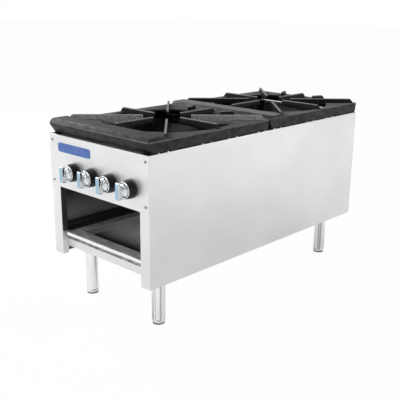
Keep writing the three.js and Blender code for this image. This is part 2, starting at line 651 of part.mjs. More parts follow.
// pilot lights: a thin tube from the manifold to a small hood in front of each burner
const pilotHood = turned(rod(pilot.hoodRadius, -pilot.hoodHeight, 0), 12);
const pilotRun = bracketTop + seat + pilot.radius;
const pilotTop = burnerBase + pilot.aboveBase;
sections.forEach((section, i) => {
  // beside the gas valve of the second knob, so that it clears the valve at any width
  const x = knobXs[1] - (i ? pilot.rearBeside : pilot.frontBeside);
  const ringEdge = burner.outerRadius + burner.ringHalf + pilot.hoodRadius + pilot.clear;
  const headY = section.burnerY - Math.sqrt(ringEdge ** 2 - x ** 2);
  add(`${section.name}_pilot_tube`, join(
    bentBar([
      [x, manifoldY, manifoldZ + pipe.radius + seat],
      [x, manifoldY, pilotRun],
      [x, headY, pilotRun],
      [x, headY, pilotTop - bury],
    ], pilot.radius, pilot.bend, 6),
    pilotHood.translate([x, headY, pilotTop]),
  ), 'steelPipe');
});

export default range;
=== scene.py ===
import math

import bmesh
import bpy
import numpy as np
from mathutils import Matrix, Vector


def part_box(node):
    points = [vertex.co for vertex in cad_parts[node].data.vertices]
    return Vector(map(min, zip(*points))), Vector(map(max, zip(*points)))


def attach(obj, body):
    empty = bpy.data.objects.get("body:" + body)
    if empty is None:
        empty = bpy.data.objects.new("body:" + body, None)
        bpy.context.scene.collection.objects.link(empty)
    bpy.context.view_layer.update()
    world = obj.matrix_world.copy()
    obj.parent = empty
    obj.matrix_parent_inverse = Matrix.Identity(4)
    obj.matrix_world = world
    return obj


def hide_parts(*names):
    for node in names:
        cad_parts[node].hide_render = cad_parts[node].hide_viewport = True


# Two-section stock pot range, dressed for rendering. Lengths in the piece dictionaries are in
# millimetres; everything that reaches Blender is in metres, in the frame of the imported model.
# The small numbers inside a profile or outline are edge breaks, fillets and steps.

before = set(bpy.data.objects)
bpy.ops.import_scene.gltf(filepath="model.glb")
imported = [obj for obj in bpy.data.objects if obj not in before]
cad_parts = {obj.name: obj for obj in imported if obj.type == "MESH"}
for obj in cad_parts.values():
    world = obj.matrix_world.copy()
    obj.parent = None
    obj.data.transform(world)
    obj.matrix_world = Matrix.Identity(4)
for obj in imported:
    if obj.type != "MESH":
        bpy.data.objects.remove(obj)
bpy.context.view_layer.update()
mm = 0.001
print("frame loaded:", len(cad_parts), "nodes")


# small tools for colours and shader nodes

def toLinear(hexText):
    # each sRGB channel through the standard curve, then opaque
    channels = np.array([int(hexText[i:i + 2], 16) for i in (0, 2, 4)]) / 255
    linear = np.where(channels <= 0.04045, channels / 12.92, ((channels + 0.055) / 1.055) ** 2.4)
    return (*linear.tolist(), 1.0)


def fill(tree, socket, value):
    # the value is a number, a hex colour, another node, or one of a node's outputs
    if isinstance(value, bpy.types.Node):
        value = next(output for output in value.outputs if output.enabled)
    if isinstance(value, bpy.types.NodeSocket):
        tree.links.new(value, socket)
    else:
        socket.default_value = toLinear(value) if isinstance(value, str) else value


def addNode(tree, kind, inputs=(), **settings):
    # one shader node with its settings; inputs fill its sockets by name, or those in use in order
    made = tree.nodes.new("ShaderNode" + kind)
    for name, value in settings.items():
        setattr(made, name, value)
    if isinstance(inputs, dict):
        filled = [(made.inputs[name], value) for name, value in inputs.items()]
    else:
        filled = zip([socket for socket in made.inputs if socket.enabled], inputs)
    for socket, value in filled:
        fill(tree, socket, value)
    return made


def startMaterial(name, **constants):
    # an empty tree with a Principled shader; constants go straight onto its sockets
    material = bpy.data.materials.new(name)
    material.use_nodes = True
    tree = material.node_tree
    tree.nodes.clear()
    shader = addNode(tree, "BsdfPrincipled",
                     {socket.replace("_", " "): value for socket, value in constants.items()})
    addNode(tree, "OutputMaterial", {"Surface": shader})
    return material, tree, shader


def finished(started, colour, rough, relief, depth, strength):
    # the shader's colour, roughness and bump, the bump being depth millimetres high
    material, tree, shader = started
    bump = addNode(tree, "Bump", {"Height": relief, "Distance": depth * mm, "Strength": strength})
    for socket, value in {"Base Color": colour, "Roughness": rough, "Normal": bump}.items():
        fill(tree, shader.inputs[socket], value)
    return material


def sized(tree, *lengths):
    # Object coordinates that grow by 1 over each of three lengths in millimetres; a noise on them
    # has features as long as that along X, Y and Z
    return addNode(tree, "Mapping", {"Vector": addNode(tree, "TexCoord").outputs["Object"],
                                     "Scale": [1 / (length * mm) for length in lengths]})


def placeOf(tree):
    # X, Y and Z of the shaded point, in the object's own frame
    return addNode(tree, "SeparateXYZ", {"Vector": addNode(tree, "TexCoord").outputs["Object"]}).outputs


def band(tree, length, low, high, edge):
    # 1 between low and high millimetres and 0 beyond, with a ramp of the edge's width inside each end
    rise = addNode(tree, "MapRange", (length, low * mm, (low + edge) * mm, 0, 1))
    fall = addNode(tree, "MapRange", (length, (high - edge) * mm, high * mm, 1, 0))
    return addNode(tree, "Math", (rise, fall), operation="MULTIPLY")


def mottledBand(tree, colour, dark, low, high, lengths):
    # a mottled band between two heights in millimetres, mixed towards another tone: a painted
    # shadow under the tray's lip on the apron, a painted highlight along the rails' top edge, and
    # real baked-on discolouring on the tray's flange
    blotches = addNode(tree, "TexNoise", (sized(tree, *lengths), 1, 3, 0.55))
    mottled = addNode(tree, "MapRange", (blotches, 0.3, 0.7, 0.45, 1))
    share = addNode(tree, "Math", (band(tree, placeOf(tree)["Z"], low, high, 0.8), mottled),
                    operation="MULTIPLY")
    return addNode(tree, "Mix", (share, colour, dark), data_type="RGBA")


# Finishes, each named for the real material. A noise takes its place, scale, detail and roughness; a
# map range takes its value, the two ends that it reads and what it gives at each of them.

def brushedStainless(name, along, tones=("e3e4e5", "f0f1f1"), roughness=(0.27, 0.36), inside=None,
                     bandHeights=None, paintedStreakWidth=None):
    # Stainless steel sheet, belt brushed: long fine lines one way, soft stretched reflections.
    # Real lines are 0.1 mm apart, too fine to show, so they are drawn 1.6 mm apart. inside says
    # where painted shade darkens a casing's inner faces; the two heights given next mark a mottled
    # painted shadow; and the last argument is the width of darker upright streaks on a tube, a
    # painted reflection.
    started = startMaterial(name, Metallic=1.0)
    tree, shader = started[1:]
    brushed = [260 if axis == along else 1.6 for axis in "XYZ"]
    lines = addNode(tree, "TexNoise", (sized(tree, *brushed), 1, 4, 0.7))
    clouds = addNode(tree, "TexNoise", (sized(tree, 210, 260, 180), 1, 2, 0.55))  # left by the rolls
    share = addNode(tree, "Math", (addNode(tree, "MapRange", (lines, 0.3, 0.7, 0, 0.4)),
                                   addNode(tree, "MapRange", (clouds, 0.3, 0.7, 0, 0.6))))
    colour = addNode(tree, "Mix", (share, *tones), data_type="RGBA")
    rough = addNode(tree, "MapRange", (lines, 0.3, 0.7, *roughness))
    # painted reflection: darker upright streaks on a tube
    if paintedStreakWidth is not None:
        streakSizes = [600 if axis == along else paintedStreakWidth for axis in "XYZ"]
        streaks = addNode(tree, "TexNoise", (sized(tree, *streakSizes), 1, 1, 0.55))
        share = addNode(tree, "MapRange", (streaks, 0.4, 0.52, 0.85, 0))
        colour = addNode(tree, "Mix", (share, colour, "a9acae"), data_type="RGBA")
    # painted shadow: a mottled darker band between two heights
    if bandHeights is not None:
        colour = mottledBand(tree, colour, "4f5153", *bandHeights, (26, 26, 5))
    # painted shade: the inner faces darken towards the top, the stiles' inner flanges darken, and the top
    # is painted black without metal sheen where the grates shade it
    if inside is not None:
        at, s = placeOf(tree), inside
        off = addNode(tree, "Math", (at["X"],), operation="ABSOLUTE")
        within = addNode(tree, "MapRange", (off, (s["halfWidth"] - 0.3) * mm, s["halfWidth"] * mm, 1, 0))
        behind = addNode(tree, "MapRange", (at["Y"], s["front"] * mm, (s["front"] + 0.3) * mm, 0, 1))
        inner = addNode(tree, "Math", (within, behind), operation="MULTIPLY")
        beside = addNode(tree, "MapRange", (off, s["flange"] * mm, (s["flange"] + 2) * mm, 1, 0))
        low = s["flangeFoot"]
        above = addNode(tree, "MapRange", (at["Z"], low * mm, (low + 4) * mm, 0, 1))
        flange = addNode(tree, "Math", (beside, above), operation="MULTIPLY")
        rise = addNode(tree, "MapRange", (at["Z"], s["fadeFrom"] * mm, s["fadeTo"] * mm, s["least"], 1))
        most = addNode(tree, "Math", (rise, flange), operation="MAXIMUM")
        uneven = addNode(tree, "MapRange", (clouds, 0.3, 0.7, 0.8, 1))
        patchy = addNode(tree, "Math", (most, uneven), operation="MULTIPLY")
        share = addNode(tree, "Math", (inner, patchy), operation="MULTIPLY")
        colour = addNode(tree, "Mix", (share, colour, "5c5b59"), data_type="RGBA")
        top = addNode(tree, "MapRange", (at["Z"], (s["blackShadeTop"] - 8) * mm, s["blackShadeTop"] * mm, 0, 1))
        blackShadeTop = addNode(tree, "Math", (inner, top), operation="MULTIPLY")
        colour = addNode(tree, "Mix", (blackShadeTop, colour, "161616"), data_type="RGBA")
        fill(tree, shader.inputs["Metallic"], addNode(tree, "MapRange", (blackShadeTop, 0.3, 0.7, 1, 0)))
        duller = addNode(tree, "Math", (inner, 0.14), operation="MULTIPLY")
        rough = addNode(tree, "Math", (rough, duller))
    return finished(started, colour, rough, lines, 0.02, 0.25)


def aluminisedSheet(name, tones, roughness, metallic, bandHeights=None, shade=None):
    # Aluminised steel sheet as rolled: dull grey with a faint patchwork of 9 mm spangles. The two
    # heights given next mark a mottled band: real baked-on discolouring on the tray's flange, and a
    # painted highlight along the rails' top edge. shade says where painted shade darkens a tray's
    # basin, most in the front and less along its left side, where it also weakens the reflection.
    started = startMaterial(name, Metallic=metallic)
    tree, shader = started[1:]
    spangle = addNode(tree, "TexVoronoi", {"Vector": addNode(tree, "TexCoord").outputs["Object"],
                                           "Scale": 1 / (9 * mm)})
    grey = addNode(tree, "RGBToBW", {"Color": spangle.outputs["Color"]})
    rolled = addNode(tree, "TexNoise", (sized(tree, 160, 5, 60), 1, 3, 0.55))
    share = addNode(tree, "Math", (addNode(tree, "MapRange", (grey, 0.2, 0.8, 0, 0.45)),
                                   addNode(tree, "MapRange", (rolled, 0.3, 0.7, 0, 0.55))))
    colour = addNode(tree, "Mix", (share, *tones), data_type="RGBA")
    # a mottled band: real baked-on discolouring on the tray's flange, a painted highlight along the
    # rails' top edge
    if bandHeights is not None:
        colour = mottledBand(tree, colour, "7d7f81", *bandHeights, (30, 16, 16))
    # painted shade: the basin darkens towards the front and the right, and its reflection is weakened
    # there
    if shade is not None:
        at, s = placeOf(tree), shade
        front = addNode(tree, "MapRange", (at["Y"], s["from"] * mm, s["to"] * mm, 0.97, 0))
        below = addNode(tree, "MapRange", (at["Z"], (s["height"] - 1) * mm, s["height"] * mm, 1, 0))
        past = addNode(tree, "MapRange", (at["Y"], (s["past"] - 1) * mm, s["past"] * mm, 0, 1))
        side = addNode(tree, "MapRange", (at["X"], (s["side"] - 25) * mm, s["side"] * mm, 0.12, 1))
        basinShadeShare = front
        for limit in (below, past, side):
            basinShadeShare = addNode(tree, "Math", (basinShadeShare, limit), operation="MULTIPLY")
        colour = addNode(tree, "Mix", (basinShadeShare, colour, "0c0c0d"), data_type="RGBA")
        fill(tree, shader.inputs["Specular IOR Level"],
             addNode(tree, "MapRange", (basinShadeShare, 0, 0.9, 0.5, 0.05)))
    rough = addNode(tree, "MapRange", (rolled, 0.3, 0.7, *roughness))
    return finished(started, colour, rough, rolled, 0.08, 0.3)


def castIron(name, tones, roughness, rubbedAndLitAbove=None, litTops=(), litStrip=None, sheen=1.34):
    # Grey iron, sand cast and blacked: a 1.6 mm grain from the mould sand, a black that is glossier
    # in some 30 mm patches, and edges above one height made paler, partly by wear where pots rub and
    # partly as a painted highlight. The list of upper faces holds the heights and tones of flat faces
    # made paler in streaks from side to side, painted light; the strip argument gives the y at x = 0
    # and the half width of a strip along the diagonal made paler, painted light on the ribs' lit
    # sides; sheen is the coat's index of refraction. Heights and widths are in millimetres.
    started = startMaterial(name, IOR=sheen)
    tree = started[1]
    at = placeOf(tree)
    patches = addNode(tree, "TexNoise", (sized(tree, 30, 30, 16), 1, 4, 0.6))
    grain = addNode(tree, "TexNoise", (sized(tree, 1.6, 1.6, 1.6), 1, 2, 0.55))
    pits = addNode(tree, "TexNoise", (sized(tree, 5, 5, 5), 1, 3, 0.65))
    share = addNode(tree, "MapRange", (patches, 0.38, 0.62, 0, 1))
    colour = addNode(tree, "Mix", (share, *tones), data_type="RGBA")
    rough = addNode(tree, "MapRange", (patches, 0.35, 0.65, *roughness))
    # painted light: flat upper faces made paler in streaks from side to side
    for level, tone in litTops:
        streaks = addNode(tree, "TexNoise", (sized(tree, 46, 13, 40), 1, 4, 0.6))
        paled = addNode(tree, "MapRange", (streaks, 0.32, 0.66, 0.45, 1))
        share = addNode(tree, "Math", (band(tree, at["Z"], level - 1.2, level + 1.2, 0.9), paled),
                        operation="MULTIPLY")
        colour = addNode(tree, "Mix", (share, colour, tone), data_type="RGBA")
    # painted light: a paler strip on the sides of the diagonal ribs that face the light
    if litStrip is not None:
        middle, halfWidth = litStrip
        off = addNode(tree, "Math", (at["X"], at["Y"]), operation="SUBTRACT")
        off = addNode(tree, "Math", (off, middle * mm))
        off = addNode(tree, "Math", (off,), operation="ABSOLUTE")
        strip = addNode(tree, "MapRange", (off, halfWidth * mm, (halfWidth + 1) * mm, 1, 0))
        patchyLight = addNode(tree, "MapRange", (pits, 0.4, 0.6, 0.5, 1))
        share = addNode(tree, "Math", (strip, patchyLight), operation="MULTIPLY")
        colour = addNode(tree, "Mix", (share, colour, "a2a3a5"), data_type="RGBA")
    # paler top edges: partly wear where pots rub, partly a painted highlight
    if rubbedAndLitAbove is not None:
        high = addNode(tree, "MapRange", (at["Z"], (rubbedAndLitAbove - 4) * mm, (rubbedAndLitAbove - 1) * mm, 0, 1))
        uneven = addNode(tree, "MapRange", (pits, 0.3, 0.7, 0.35, 1))
        share = addNode(tree, "Math", (high, uneven), operation="MULTIPLY")
        colour = addNode(tree, "Mix", (share, colour, "a3a5a7"), data_type="RGBA")
        smoother = addNode(tree, "Math", (share, 0.14), operation="MULTIPLY")
        rough = addNode(tree, "Math", (rough, smoother), operation="SUBTRACT")
    return finished(started, colour, rough, addNode(tree, "Math", (grain, pits)), 0.35, 0.45)


def plainFinish(name, tones, roughness, tint, relief, depth, strength, haze=None, **constants):
    # two tones mixed by one noise, roughness by another or the same, and a bump by a third; each
    # is given as its three lengths in millimetres, its detail and its roughness
    started = startMaterial(name, **constants)
    tree = started[1]
    tinted, hazed, lifted = [addNode(tree, "TexNoise", (sized(tree, *lengths), 1, *rest))
                             for lengths, *rest in (tint, haze or tint, relief)]
    share = addNode(tree, "MapRange", (tinted, 0.3, 0.7, 0, 1))
    colour = addNode(tree, "Mix", (share, *tones), data_type="RGBA")
    rough = addNode(tree, "MapRange", (hazed, 0.3, 0.7, *roughness))
    return finished(started, colour, rough, lifted, depth, strength)


def turnedBar(name, tones):
    # Metal bar, turned on a lathe: fine rings 1 mm apart across the length, a little tarnish.
    return plainFinish(name, tones, (0.28, 0.45), ((14, 14, 14), 4, 0.55), ((30, 1, 30), 2, 0.55), 0.08,
                       0.4, Metallic=1.0)


# where painted shade darkens the casing's inner faces: past half this width and behind the front;
# the painted shade deepens between two heights, covers the stiles' inner flanges and is painted
# black on top, where the grates shade it
innerShade = {"halfWidth": 228, "front": -510.4, "least": 0.02, "fadeFrom": 265, "fadeTo": 345,
        "flange": 192, "flangeFoot": 230, "blackShadeTop": 548}
# where painted shade darkens the tray's basin: below this height and behind past, darkest up to
# from, none behind to, and much less on the left of side
basinShade = {"from": -418, "to": -290, "height": 229, "past": -466, "side": -130}
# noises that a finish uses twice; after its roughness, flow has its lacunarity and its distortion
flow, wave = ((12, 12, 5), 3, 0.55, 2, 0.6), ((6, 6, 6), 2, 0.55)
peel, hairline = ((4, 4, 4), 2, 0.55), ((0.8, 0.8, 40), 3, 0.55)
finishes = {
    "panelAcross": brushedStainless("brushed_stainless_across", "X", roughness=(0.36, 0.45)),
    # the side panels' inner faces carry painted shade
    "panelAlong": brushedStainless("brushed_stainless_along", "Y", inside=innerShade),
    # the apron's darker band under the tray's lip is a painted shadow
    "apronSteel": brushedStainless("brushed_stainless_apron", "X", bandHeights=(203.5, 213)),
    # the legs' darker upright streaks are a painted reflection
    "legSteel": brushedStainless("brushed_stainless_upright", "Z", ("fafafa", "ffffff"), (0.16, 0.24),
                                 paintedStreakWidth=12),
    "footSteel": brushedStainless("turned_stainless_foot", "X", ("dcdedf", "eceded"), (0.2, 0.28)),
    # dark: painted shade on the sheet parts inside the casing
    "shadedSheet": aluminisedSheet("painted_shade_sheet", ("2c2b2a", "484644"), (0.5, 0.65), 0.5),
    # dark: painted shade on the tray rails; the paler band at 249 to 252 mm is a painted highlight along
    # their top edge
    "railSheet": aluminisedSheet("painted_shade_rail_sheet", ("262627", "363637"), (0.5, 0.65), 0.1, (249, 252)),
    "traySteel": aluminisedSheet("tray_sheet", ("f0f2f3", "ffffff"), (0.36, 0.5), 0, (230.4, 233),
                                 basinShade),
    # very black: painted shade in the gap under the grates
    "gapShadeRope": castIron("gap_shade_rope", ("060607", "111213"), (0.75, 0.6)),
    "burnerIron": castIron("burner_cast_iron", ("0d0d0e", "1e1d1b"), (0.6, 0.42)),
    "screwSteel": turnedBar("dulled_screw_steel", ("8f9193", "b4b6b8")),
    "brass": turnedBar("turned_brass", ("a5874a", "c2a561")),
    # black phenolic resin, compression moulded: glossy, with a slight flow pattern 12 mm across
    "resin": plainFinish("black_phenolic", ("08090a", "111214"), (0.26, 0.4), flow, flow, 0.04, 0.2,
                         IOR=1.38),
    # chrome plate on die-cast zinc, buffed: mirror bright with a faint 6 mm waviness
    "chrome": plainFinish("chrome_plate", ("dfe3e6", "f4f7f9"), (0.06, 0.13), wave, wave, 0.03, 0.3,
                          ((1.4, 1.4, 1.4), 2, 0.55), Metallic=1.0),
    # aluminium strip, brushed up and down, then anodised a pale blue
    "strip": plainFinish("pale_blue_anodised_strip", ("8fb6cf", "b4d2e4"), (0.25, 0.4), hairline,
                         hairline, 0.04, 0.3, Metallic=0.85),
    # blue glass enamel fired on a pressed plate: glossy, with a soft 4 mm orange peel
    "enamel": plainFinish("blue_enamel_plate", ("3a60a8", "476eb6"), (0.2, 0.32),
                          ((30, 30, 12), 2, 0.55), peel, 0.1, 0.25, peel, IOR=1.52),
    # steel pipe with its mill scale and a coat of lacquer: dull black, blotched every 18 mm
    "pipe": plainFinish("black_steel_pipe", ("2b2d2f", "45474a"), (0.36, 0.55), ((18, 18, 18), 4, 0.65),
                        ((1.8, 1.8, 1.8), 2, 0.55), 0.1, 0.4, Metallic=0.3, IOR=1.6),
    # black rubber, moulded: matt, with a 1 mm texture
    "rubber": plainFinish("black_rubber", ("121314", "202224"), (0.6, 0.8), ((16, 16, 6), 3, 0.55),
                          ((1, 1, 1), 2, 0.55), 0.1, 0.4),
}
print("finishes made:", len(finishes))


# surfaces as arrays

def quads(rows, columns, closeRows=False):
    # the corner numbers of every cell between rows of closed loops
    i, j = np.meshgrid(np.arange(rows - (not closeRows)), np.arange(columns), indexing="ij")
    nextI, nextJ = (i + 1) % rows, (j + 1) % columns
    return np.stack([i * columns + j, nextI * columns + j, nextI * columns + nextJ, i * columns + nextJ],
                    -1).reshape(-1, 4)


def skinned(loops, closeRows=False):
    # a grid of points, row after row, with the cells between its rows
    return loops.reshape(-1, 3), quads(len(loops), loops.shape[1], closeRows)


def capped(loops, first, last):
    # a loop drawn in to one point closes each end
    ends = [np.broadcast_to(point, loops[:1].shape) for point in (first, last)]
    return skinned(np.concatenate([ends[0], loops, ends[1]]))


def polar(r, angle, z):
    # x = r cos a, y = r sin a
    x, y = r * np.cos(angle), r * np.sin(angle)
    return np.stack([x, y, z + 0 * x], -1)


def softened(points, reach, steps, closed=False):
    # each corner becomes a parabola between the points that lie reach before and after it
    p = np.asarray(points, float)
    before, after = np.roll(p, 1, 0) - p, np.roll(p, -1, 0) - p
    spans = [np.maximum(np.linalg.norm(v, axis=1, keepdims=True), 1e-9) for v in (before, after)]
    room = np.minimum(np.reshape(reach, (-1, 1)) * np.ones((len(p), 1)), 0.45 * np.minimum(*spans))
    s = np.linspace(0, 1, steps)[None, :, None]
    start, end = p + before / spans[0] * room, p + after / spans[1] * room
    curve = (1 - s) ** 2 * start[:, None] + 2 * s * (1 - s) * p[:, None] + s ** 2 * end[:, None]
    if closed:
        return curve.reshape(-1, p.shape[1])
    return np.vstack([p[:1], curve[1:-1].reshape(-1, p.shape[1]), p[-1:]])


def turned(profile, sides, closed=False):
    # every (radius, height) point carried round the Z axis
    profile = np.asarray(profile, float)
    angle = np.linspace(0, 2 * np.pi, sides, endpoint=False)[None, :]
    return skinned(polar(profile[:, :1], angle, profile[:, 1:]), closed)


def hose(path, radii, sides):
    # a circle of the given radii carried along a path, square to it, its ends drawn to a point
    path = np.vstack([path[:1], path, path[-1:]])
    radii = np.array([0, *radii, 0], float)
    tangent = np.gradient(path[1:-1], axis=0)
    tangent = np.vstack([tangent[:1], tangent, tangent[-1:]])
    tangent /= np.linalg.norm(tangent, axis=1, keepdims=True)
    sideways = np.array([1.0, 0, 0]) - tangent[:, :1] * tangent
    sideways /= np.linalg.norm(sideways, axis=1, keepdims=True)
    upward = np.cross(tangent, sideways)
    angle = np.linspace(0, 2 * np.pi, sides, endpoint=False)[None, :, None]
    points = path[:, None] + radii[:, None, None] * (
        np.cos(angle) * sideways[:, None] + np.sin(angle) * upward[:, None])
    return skinned(points)


def slab(outline, profile):
    # a closed outline drawn in by each profile point's inset and raised to its height;
    # the first and last loops shrink to the outline's middle, which closes the shell
    outline, profile = np.asarray(outline, float), np.asarray(profile, float)
    middle = outline.mean(0)
    reach = np.abs(outline - middle).max(0)
    shrink = 1 - profile[:, None, :1] / reach
    loops = middle + (outline - middle)[None] * np.maximum(shrink, 0)
    points = np.concatenate([loops, np.broadcast_to(profile[:, None, 1:], loops.shape[:2] + (1,))], -1)
    return capped(points, [*middle, profile[0, 1]], [*middle, profile[-1, 1]])


def rectangle(width, height, corner, steps=7):
    # corners at half the width and half the height either way, each one rounded
    w, h = width / 2, height / 2
    return softened([(-w, -h), (w, -h), (w, h), (-w, h)], corner, steps, closed=True)


def facingFront(shell):
    # local X stays, local Y becomes up and local Z comes towards the front
    points, faces = shell
    return np.stack([points[:, 0], -points[:, 2], points[:, 1]], -1), faces


def movedTo(shell, at):
    # every point plus one place
    return shell[0] + np.asarray(at, float), shell[1]


def together(shells):
    # shells in one, each one's corner numbers raised by the count of points before it
    starts = np.cumsum([0] + [len(points) for points, faces in shells[:-1]])
    return (np.vstack([points for points, faces in shells]),
            np.vstack([faces + start for (points, faces), start in zip(shells, starts)]))


# in metres, how near points are joined; in degrees, what counts as flat, as sharp and as bevelled
meshing = {"joined": 2e-6, "emptyEdge": 1e-7, "flat": 0.6, "sharp": 38, "bevelled": 40}


def putInScene(name, shell, finish, body, standsFor, sharp=meshing["sharp"]):
    # millimetre arrays become a mesh with closed seams, outward faces and its corners kept crisp
    points, faces = shell
    mesh = bpy.data.meshes.new(name)
    mesh.from_pydata((points * mm).tolist(), [], faces.tolist())
    work = bmesh.new()
    work.from_mesh(mesh)
    bmesh.ops.remove_doubles(work, verts=work.verts, dist=meshing["joined"])
    bmesh.ops.dissolve_degenerate(work, edges=work.edges, dist=meshing["emptyEdge"])
    bmesh.ops.recalc_face_normals(work, faces=work.faces)
    work.to_mesh(mesh)
    work.free()
    place(name, mesh, finish, body, standsFor, sharp)


def place(name, mesh, finish, body, standsFor, sharp):
    # the mesh gets its finish and becomes a piece that rides on its body
    mesh.shade_smooth()
    mesh.set_sharp_from_angle(angle=math.radians(sharp))
    mesh.materials.clear()
    mesh.materials.append(finishes[finish])
    piece = bpy.data.objects.new(name, mesh)
    bpy.context.scene.collection.objects.link(piece)
    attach(piece, body)
    if standsFor:
        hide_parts(*standsFor)
    return piece


def boxOf(node):
    # a node's lowest and highest corner in millimetres
    return [np.array(corner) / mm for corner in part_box(node)]


def easedCopy(node, name, finish, body, edge, segments=2):
    # a merged copy of a node whose flat faces are whole again and whose edges are rounded
    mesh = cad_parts[node].data.copy()
    mesh.name = name
    work = bmesh.new()
    work.from_mesh(mesh)
    bmesh.ops.remove_doubles(work, verts=work.verts, dist=meshing["joined"])
    bmesh.ops.dissolve_limit(work, angle_limit=math.radians(meshing["flat"]), verts=work.verts,
                             edges=work.edges)
    work.to_mesh(mesh)
    work.free()
    piece = place(name, mesh, finish, body, (node,), meshing["sharp"])
    bevel = piece.modifiers.new("Eased edges", "BEVEL")
    bevel.width = edge * mm
    bevel.segments = segments
    bevel.limit_method = "ANGLE"
    bevel.angle_limit = math.radians(meshing["bevelled"])
    bevel.use_clamp_overlap = True
    bevel.harden_normals = False


# casing

casing = {"panelEdge": 0.6, "panEdge": 0.5, "sheetEdge": 0.4}
for node, finish in [("left_side_panel", "panelAlong"), ("right_side_panel", "panelAlong"),
                     ("back_panel", "panelAcross"), ("control_panel", "panelAcross"),
                     ("front_apron", "apronSteel")]:
    easedCopy(node, node + "_sheet", finish, "chassis", casing["panelEdge"])
bars = {"panelAcross": ["front_base_channel", "rear_base_channel"],
        "railSheet": ["left_tray_rail", "right_tray_rail"],
        "shadedSheet": ["centre_cross_bar", "orifice_bracket", "front_burner_front_rest",
                        "front_burner_rear_rest", "rear_burner_front_rest", "rear_burner_rear_rest"]}
for finish, nodes in bars.items():
    for node in nodes:
        easedCopy(node, node + "_sheet", finish, "chassis", casing["sheetEdge"], 1)
easedCopy("drip_tray", "drip_tray_pan", "traySteel", "drip_tray", casing["panEdge"])
print("casing done")


# badge: a blank enamelled plate with a low raised border

badge = {"corner": 9, "border": 1.6, "step": 0.35, "edge": 0.4, "fieldSlope": 4}
low, high = boxOf("badge_plate")
width, thick, height = high - low
field = thick - badge["step"]
edge, border = badge["edge"], badge["border"]
profile = [(0.01, 0), (0, 0.1), (0, thick - edge), (edge, thick), (border, thick), (border + 0.5, field),
           (border + badge["fieldSlope"], field)]
plate = facingFront(slab(rectangle(width, height, badge["corner"]), softened(profile, 0.3, 3)))
putInScene("badge_blank", movedTo(plate, [(low[0] + high[0]) / 2, high[1], (low[2] + high[2]) / 2]),
           "enamel", "chassis", ["badge_plate"])


# panel screws: pan heads with a cross recess

screw = {"headRadius": 4.5, "headHeight": 2.6, "slotWidth": 0.75, "slotReach": 2.7, "slotDepth": 1.5,
         "shankRadius": 2.1, "shankLength": 12, "sides": 64, "firstTurn": 0.4, "turnEach": 0.9}


def screwShell(turn):
    # height falls from the middle as H (1 - 0.72 r^3) and drops by the slot depth in two crossed bars
    r = np.concatenate([np.linspace(0, 0.72, 22), np.linspace(0.76, 1, 7)])[:, None]
    angle = np.linspace(0, 2 * np.pi, screw["sides"], endpoint=False)[None, :]
    head = polar(screw["headRadius"] * r, angle, 0)
    x, y, c, s = head[..., 0], head[..., 1], math.cos(turn), math.sin(turn)
    across, along = x * c - y * s, x * s + y * c
    width, reach = screw["slotWidth"], screw["slotReach"]
    inBar = lambda p, q: 1 / (1 + np.exp(9 * (np.abs(p) - width))) / (1 + np.exp(6 * (np.abs(q) - reach)))
    recess = np.maximum(inBar(across, along), inBar(along, across))
    head[..., 2] = screw["headHeight"] * (1 - 0.72 * r ** 3) - screw["slotDepth"] * recess
    shank = [(screw["headRadius"], 0), (screw["shankRadius"], 0),
             (screw["shankRadius"], -screw["shankLength"] + 1), (0, -screw["shankLength"])]
    points = np.vstack([head.reshape(-1, 3), turned(shank, screw["sides"])[0]])
    return facingFront((points, quads(len(r) + len(shank), screw["sides"])))


for i in range(1, 5):
    low, high = boxOf(f"panel_screw_{i}")
    at = [(low[0] + high[0]) / 2, low[1] + screw["headHeight"], (low[2] + high[2]) / 2]
    shell = movedTo(screwShell(screw["firstTurn"] + screw["turnEach"] * i), at)
    putInScene(f"panel_screw_{i}_head", shell, "screwSteel", "chassis", [f"panel_screw_{i}"])
print("badge and screws done")


# control knobs

knob = {"radius": 28, "faceRadius": 27, "length": 22, "band": 7.7, "dialRadius": 24.5,
        "dialThickness": 2.7, "bellRadius": 17, "bellRise": 7, "neckRadius": 10, "bellLength": 11,
        "gripHeight": 50, "gripWidth": 14, "gripReach": 27, "topDepth": 8, "footDepth": 21,
        "stripWidth": 11.4, "stripHeight": 46, "stripProud": 0.7, "stripCorner": 4, "endRounding": 3,
        "skirtSides": 96, "dialSides": 72}


def knobSkirt():
    # a straight band, a step in, then a slight taper to a rounded face
    k = knob
    profile = [(0, 0), (k["radius"] - 1.2, 0), (k["radius"], 1.2), (k["radius"], k["band"]),
               (k["radius"] - 0.9, k["band"] + 1.3), (k["faceRadius"] - 0.4, k["length"] - 2.5),
               (k["faceRadius"] - 2.5, k["length"]), (0, k["length"])]
    return facingFront(turned(softened(profile, 1.6, 6), k["skirtSides"]))


def knobDial():
    # a bright rim round a narrow channel, then a bell that rises to the neck
    k = knob
    r, t, neck = k["dialRadius"], k["dialThickness"], k["neckRadius"]
    bell, end = k["bellRadius"], k["gripReach"] - k["topDepth"]
    profile = [(0, 0), (r - 0.6, 0), (r, 0.6), (r, t - 0.8), (r - 1.2, t), (r - 2.6, t),
               (r - 3.4, t - 0.9), (bell + 2.2, t - 0.9), (bell + 1, t + 1.4), (bell - 1, k["bellRise"]),
               (neck, k["bellLength"]), (neck - 1, k["bellLength"] + 3), (neck - 1, end), (0, end)]
    return facingFront(turned(softened(profile, 1.1, 5), k["dialSides"]))


def knobDarkRing():
    # a thin black washer laid in the channel of the dial
    k = knob
    outer, inner, t = k["dialRadius"] - 3.3, k["bellRadius"] + 2.1, k["dialThickness"] - 1.2
    profile = [(outer, t - 0.3), (outer, t + 0.6), (inner, t + 0.6), (inner, t - 0.3)]
    return facingFront(turned(profile, k["dialSides"], closed=True))


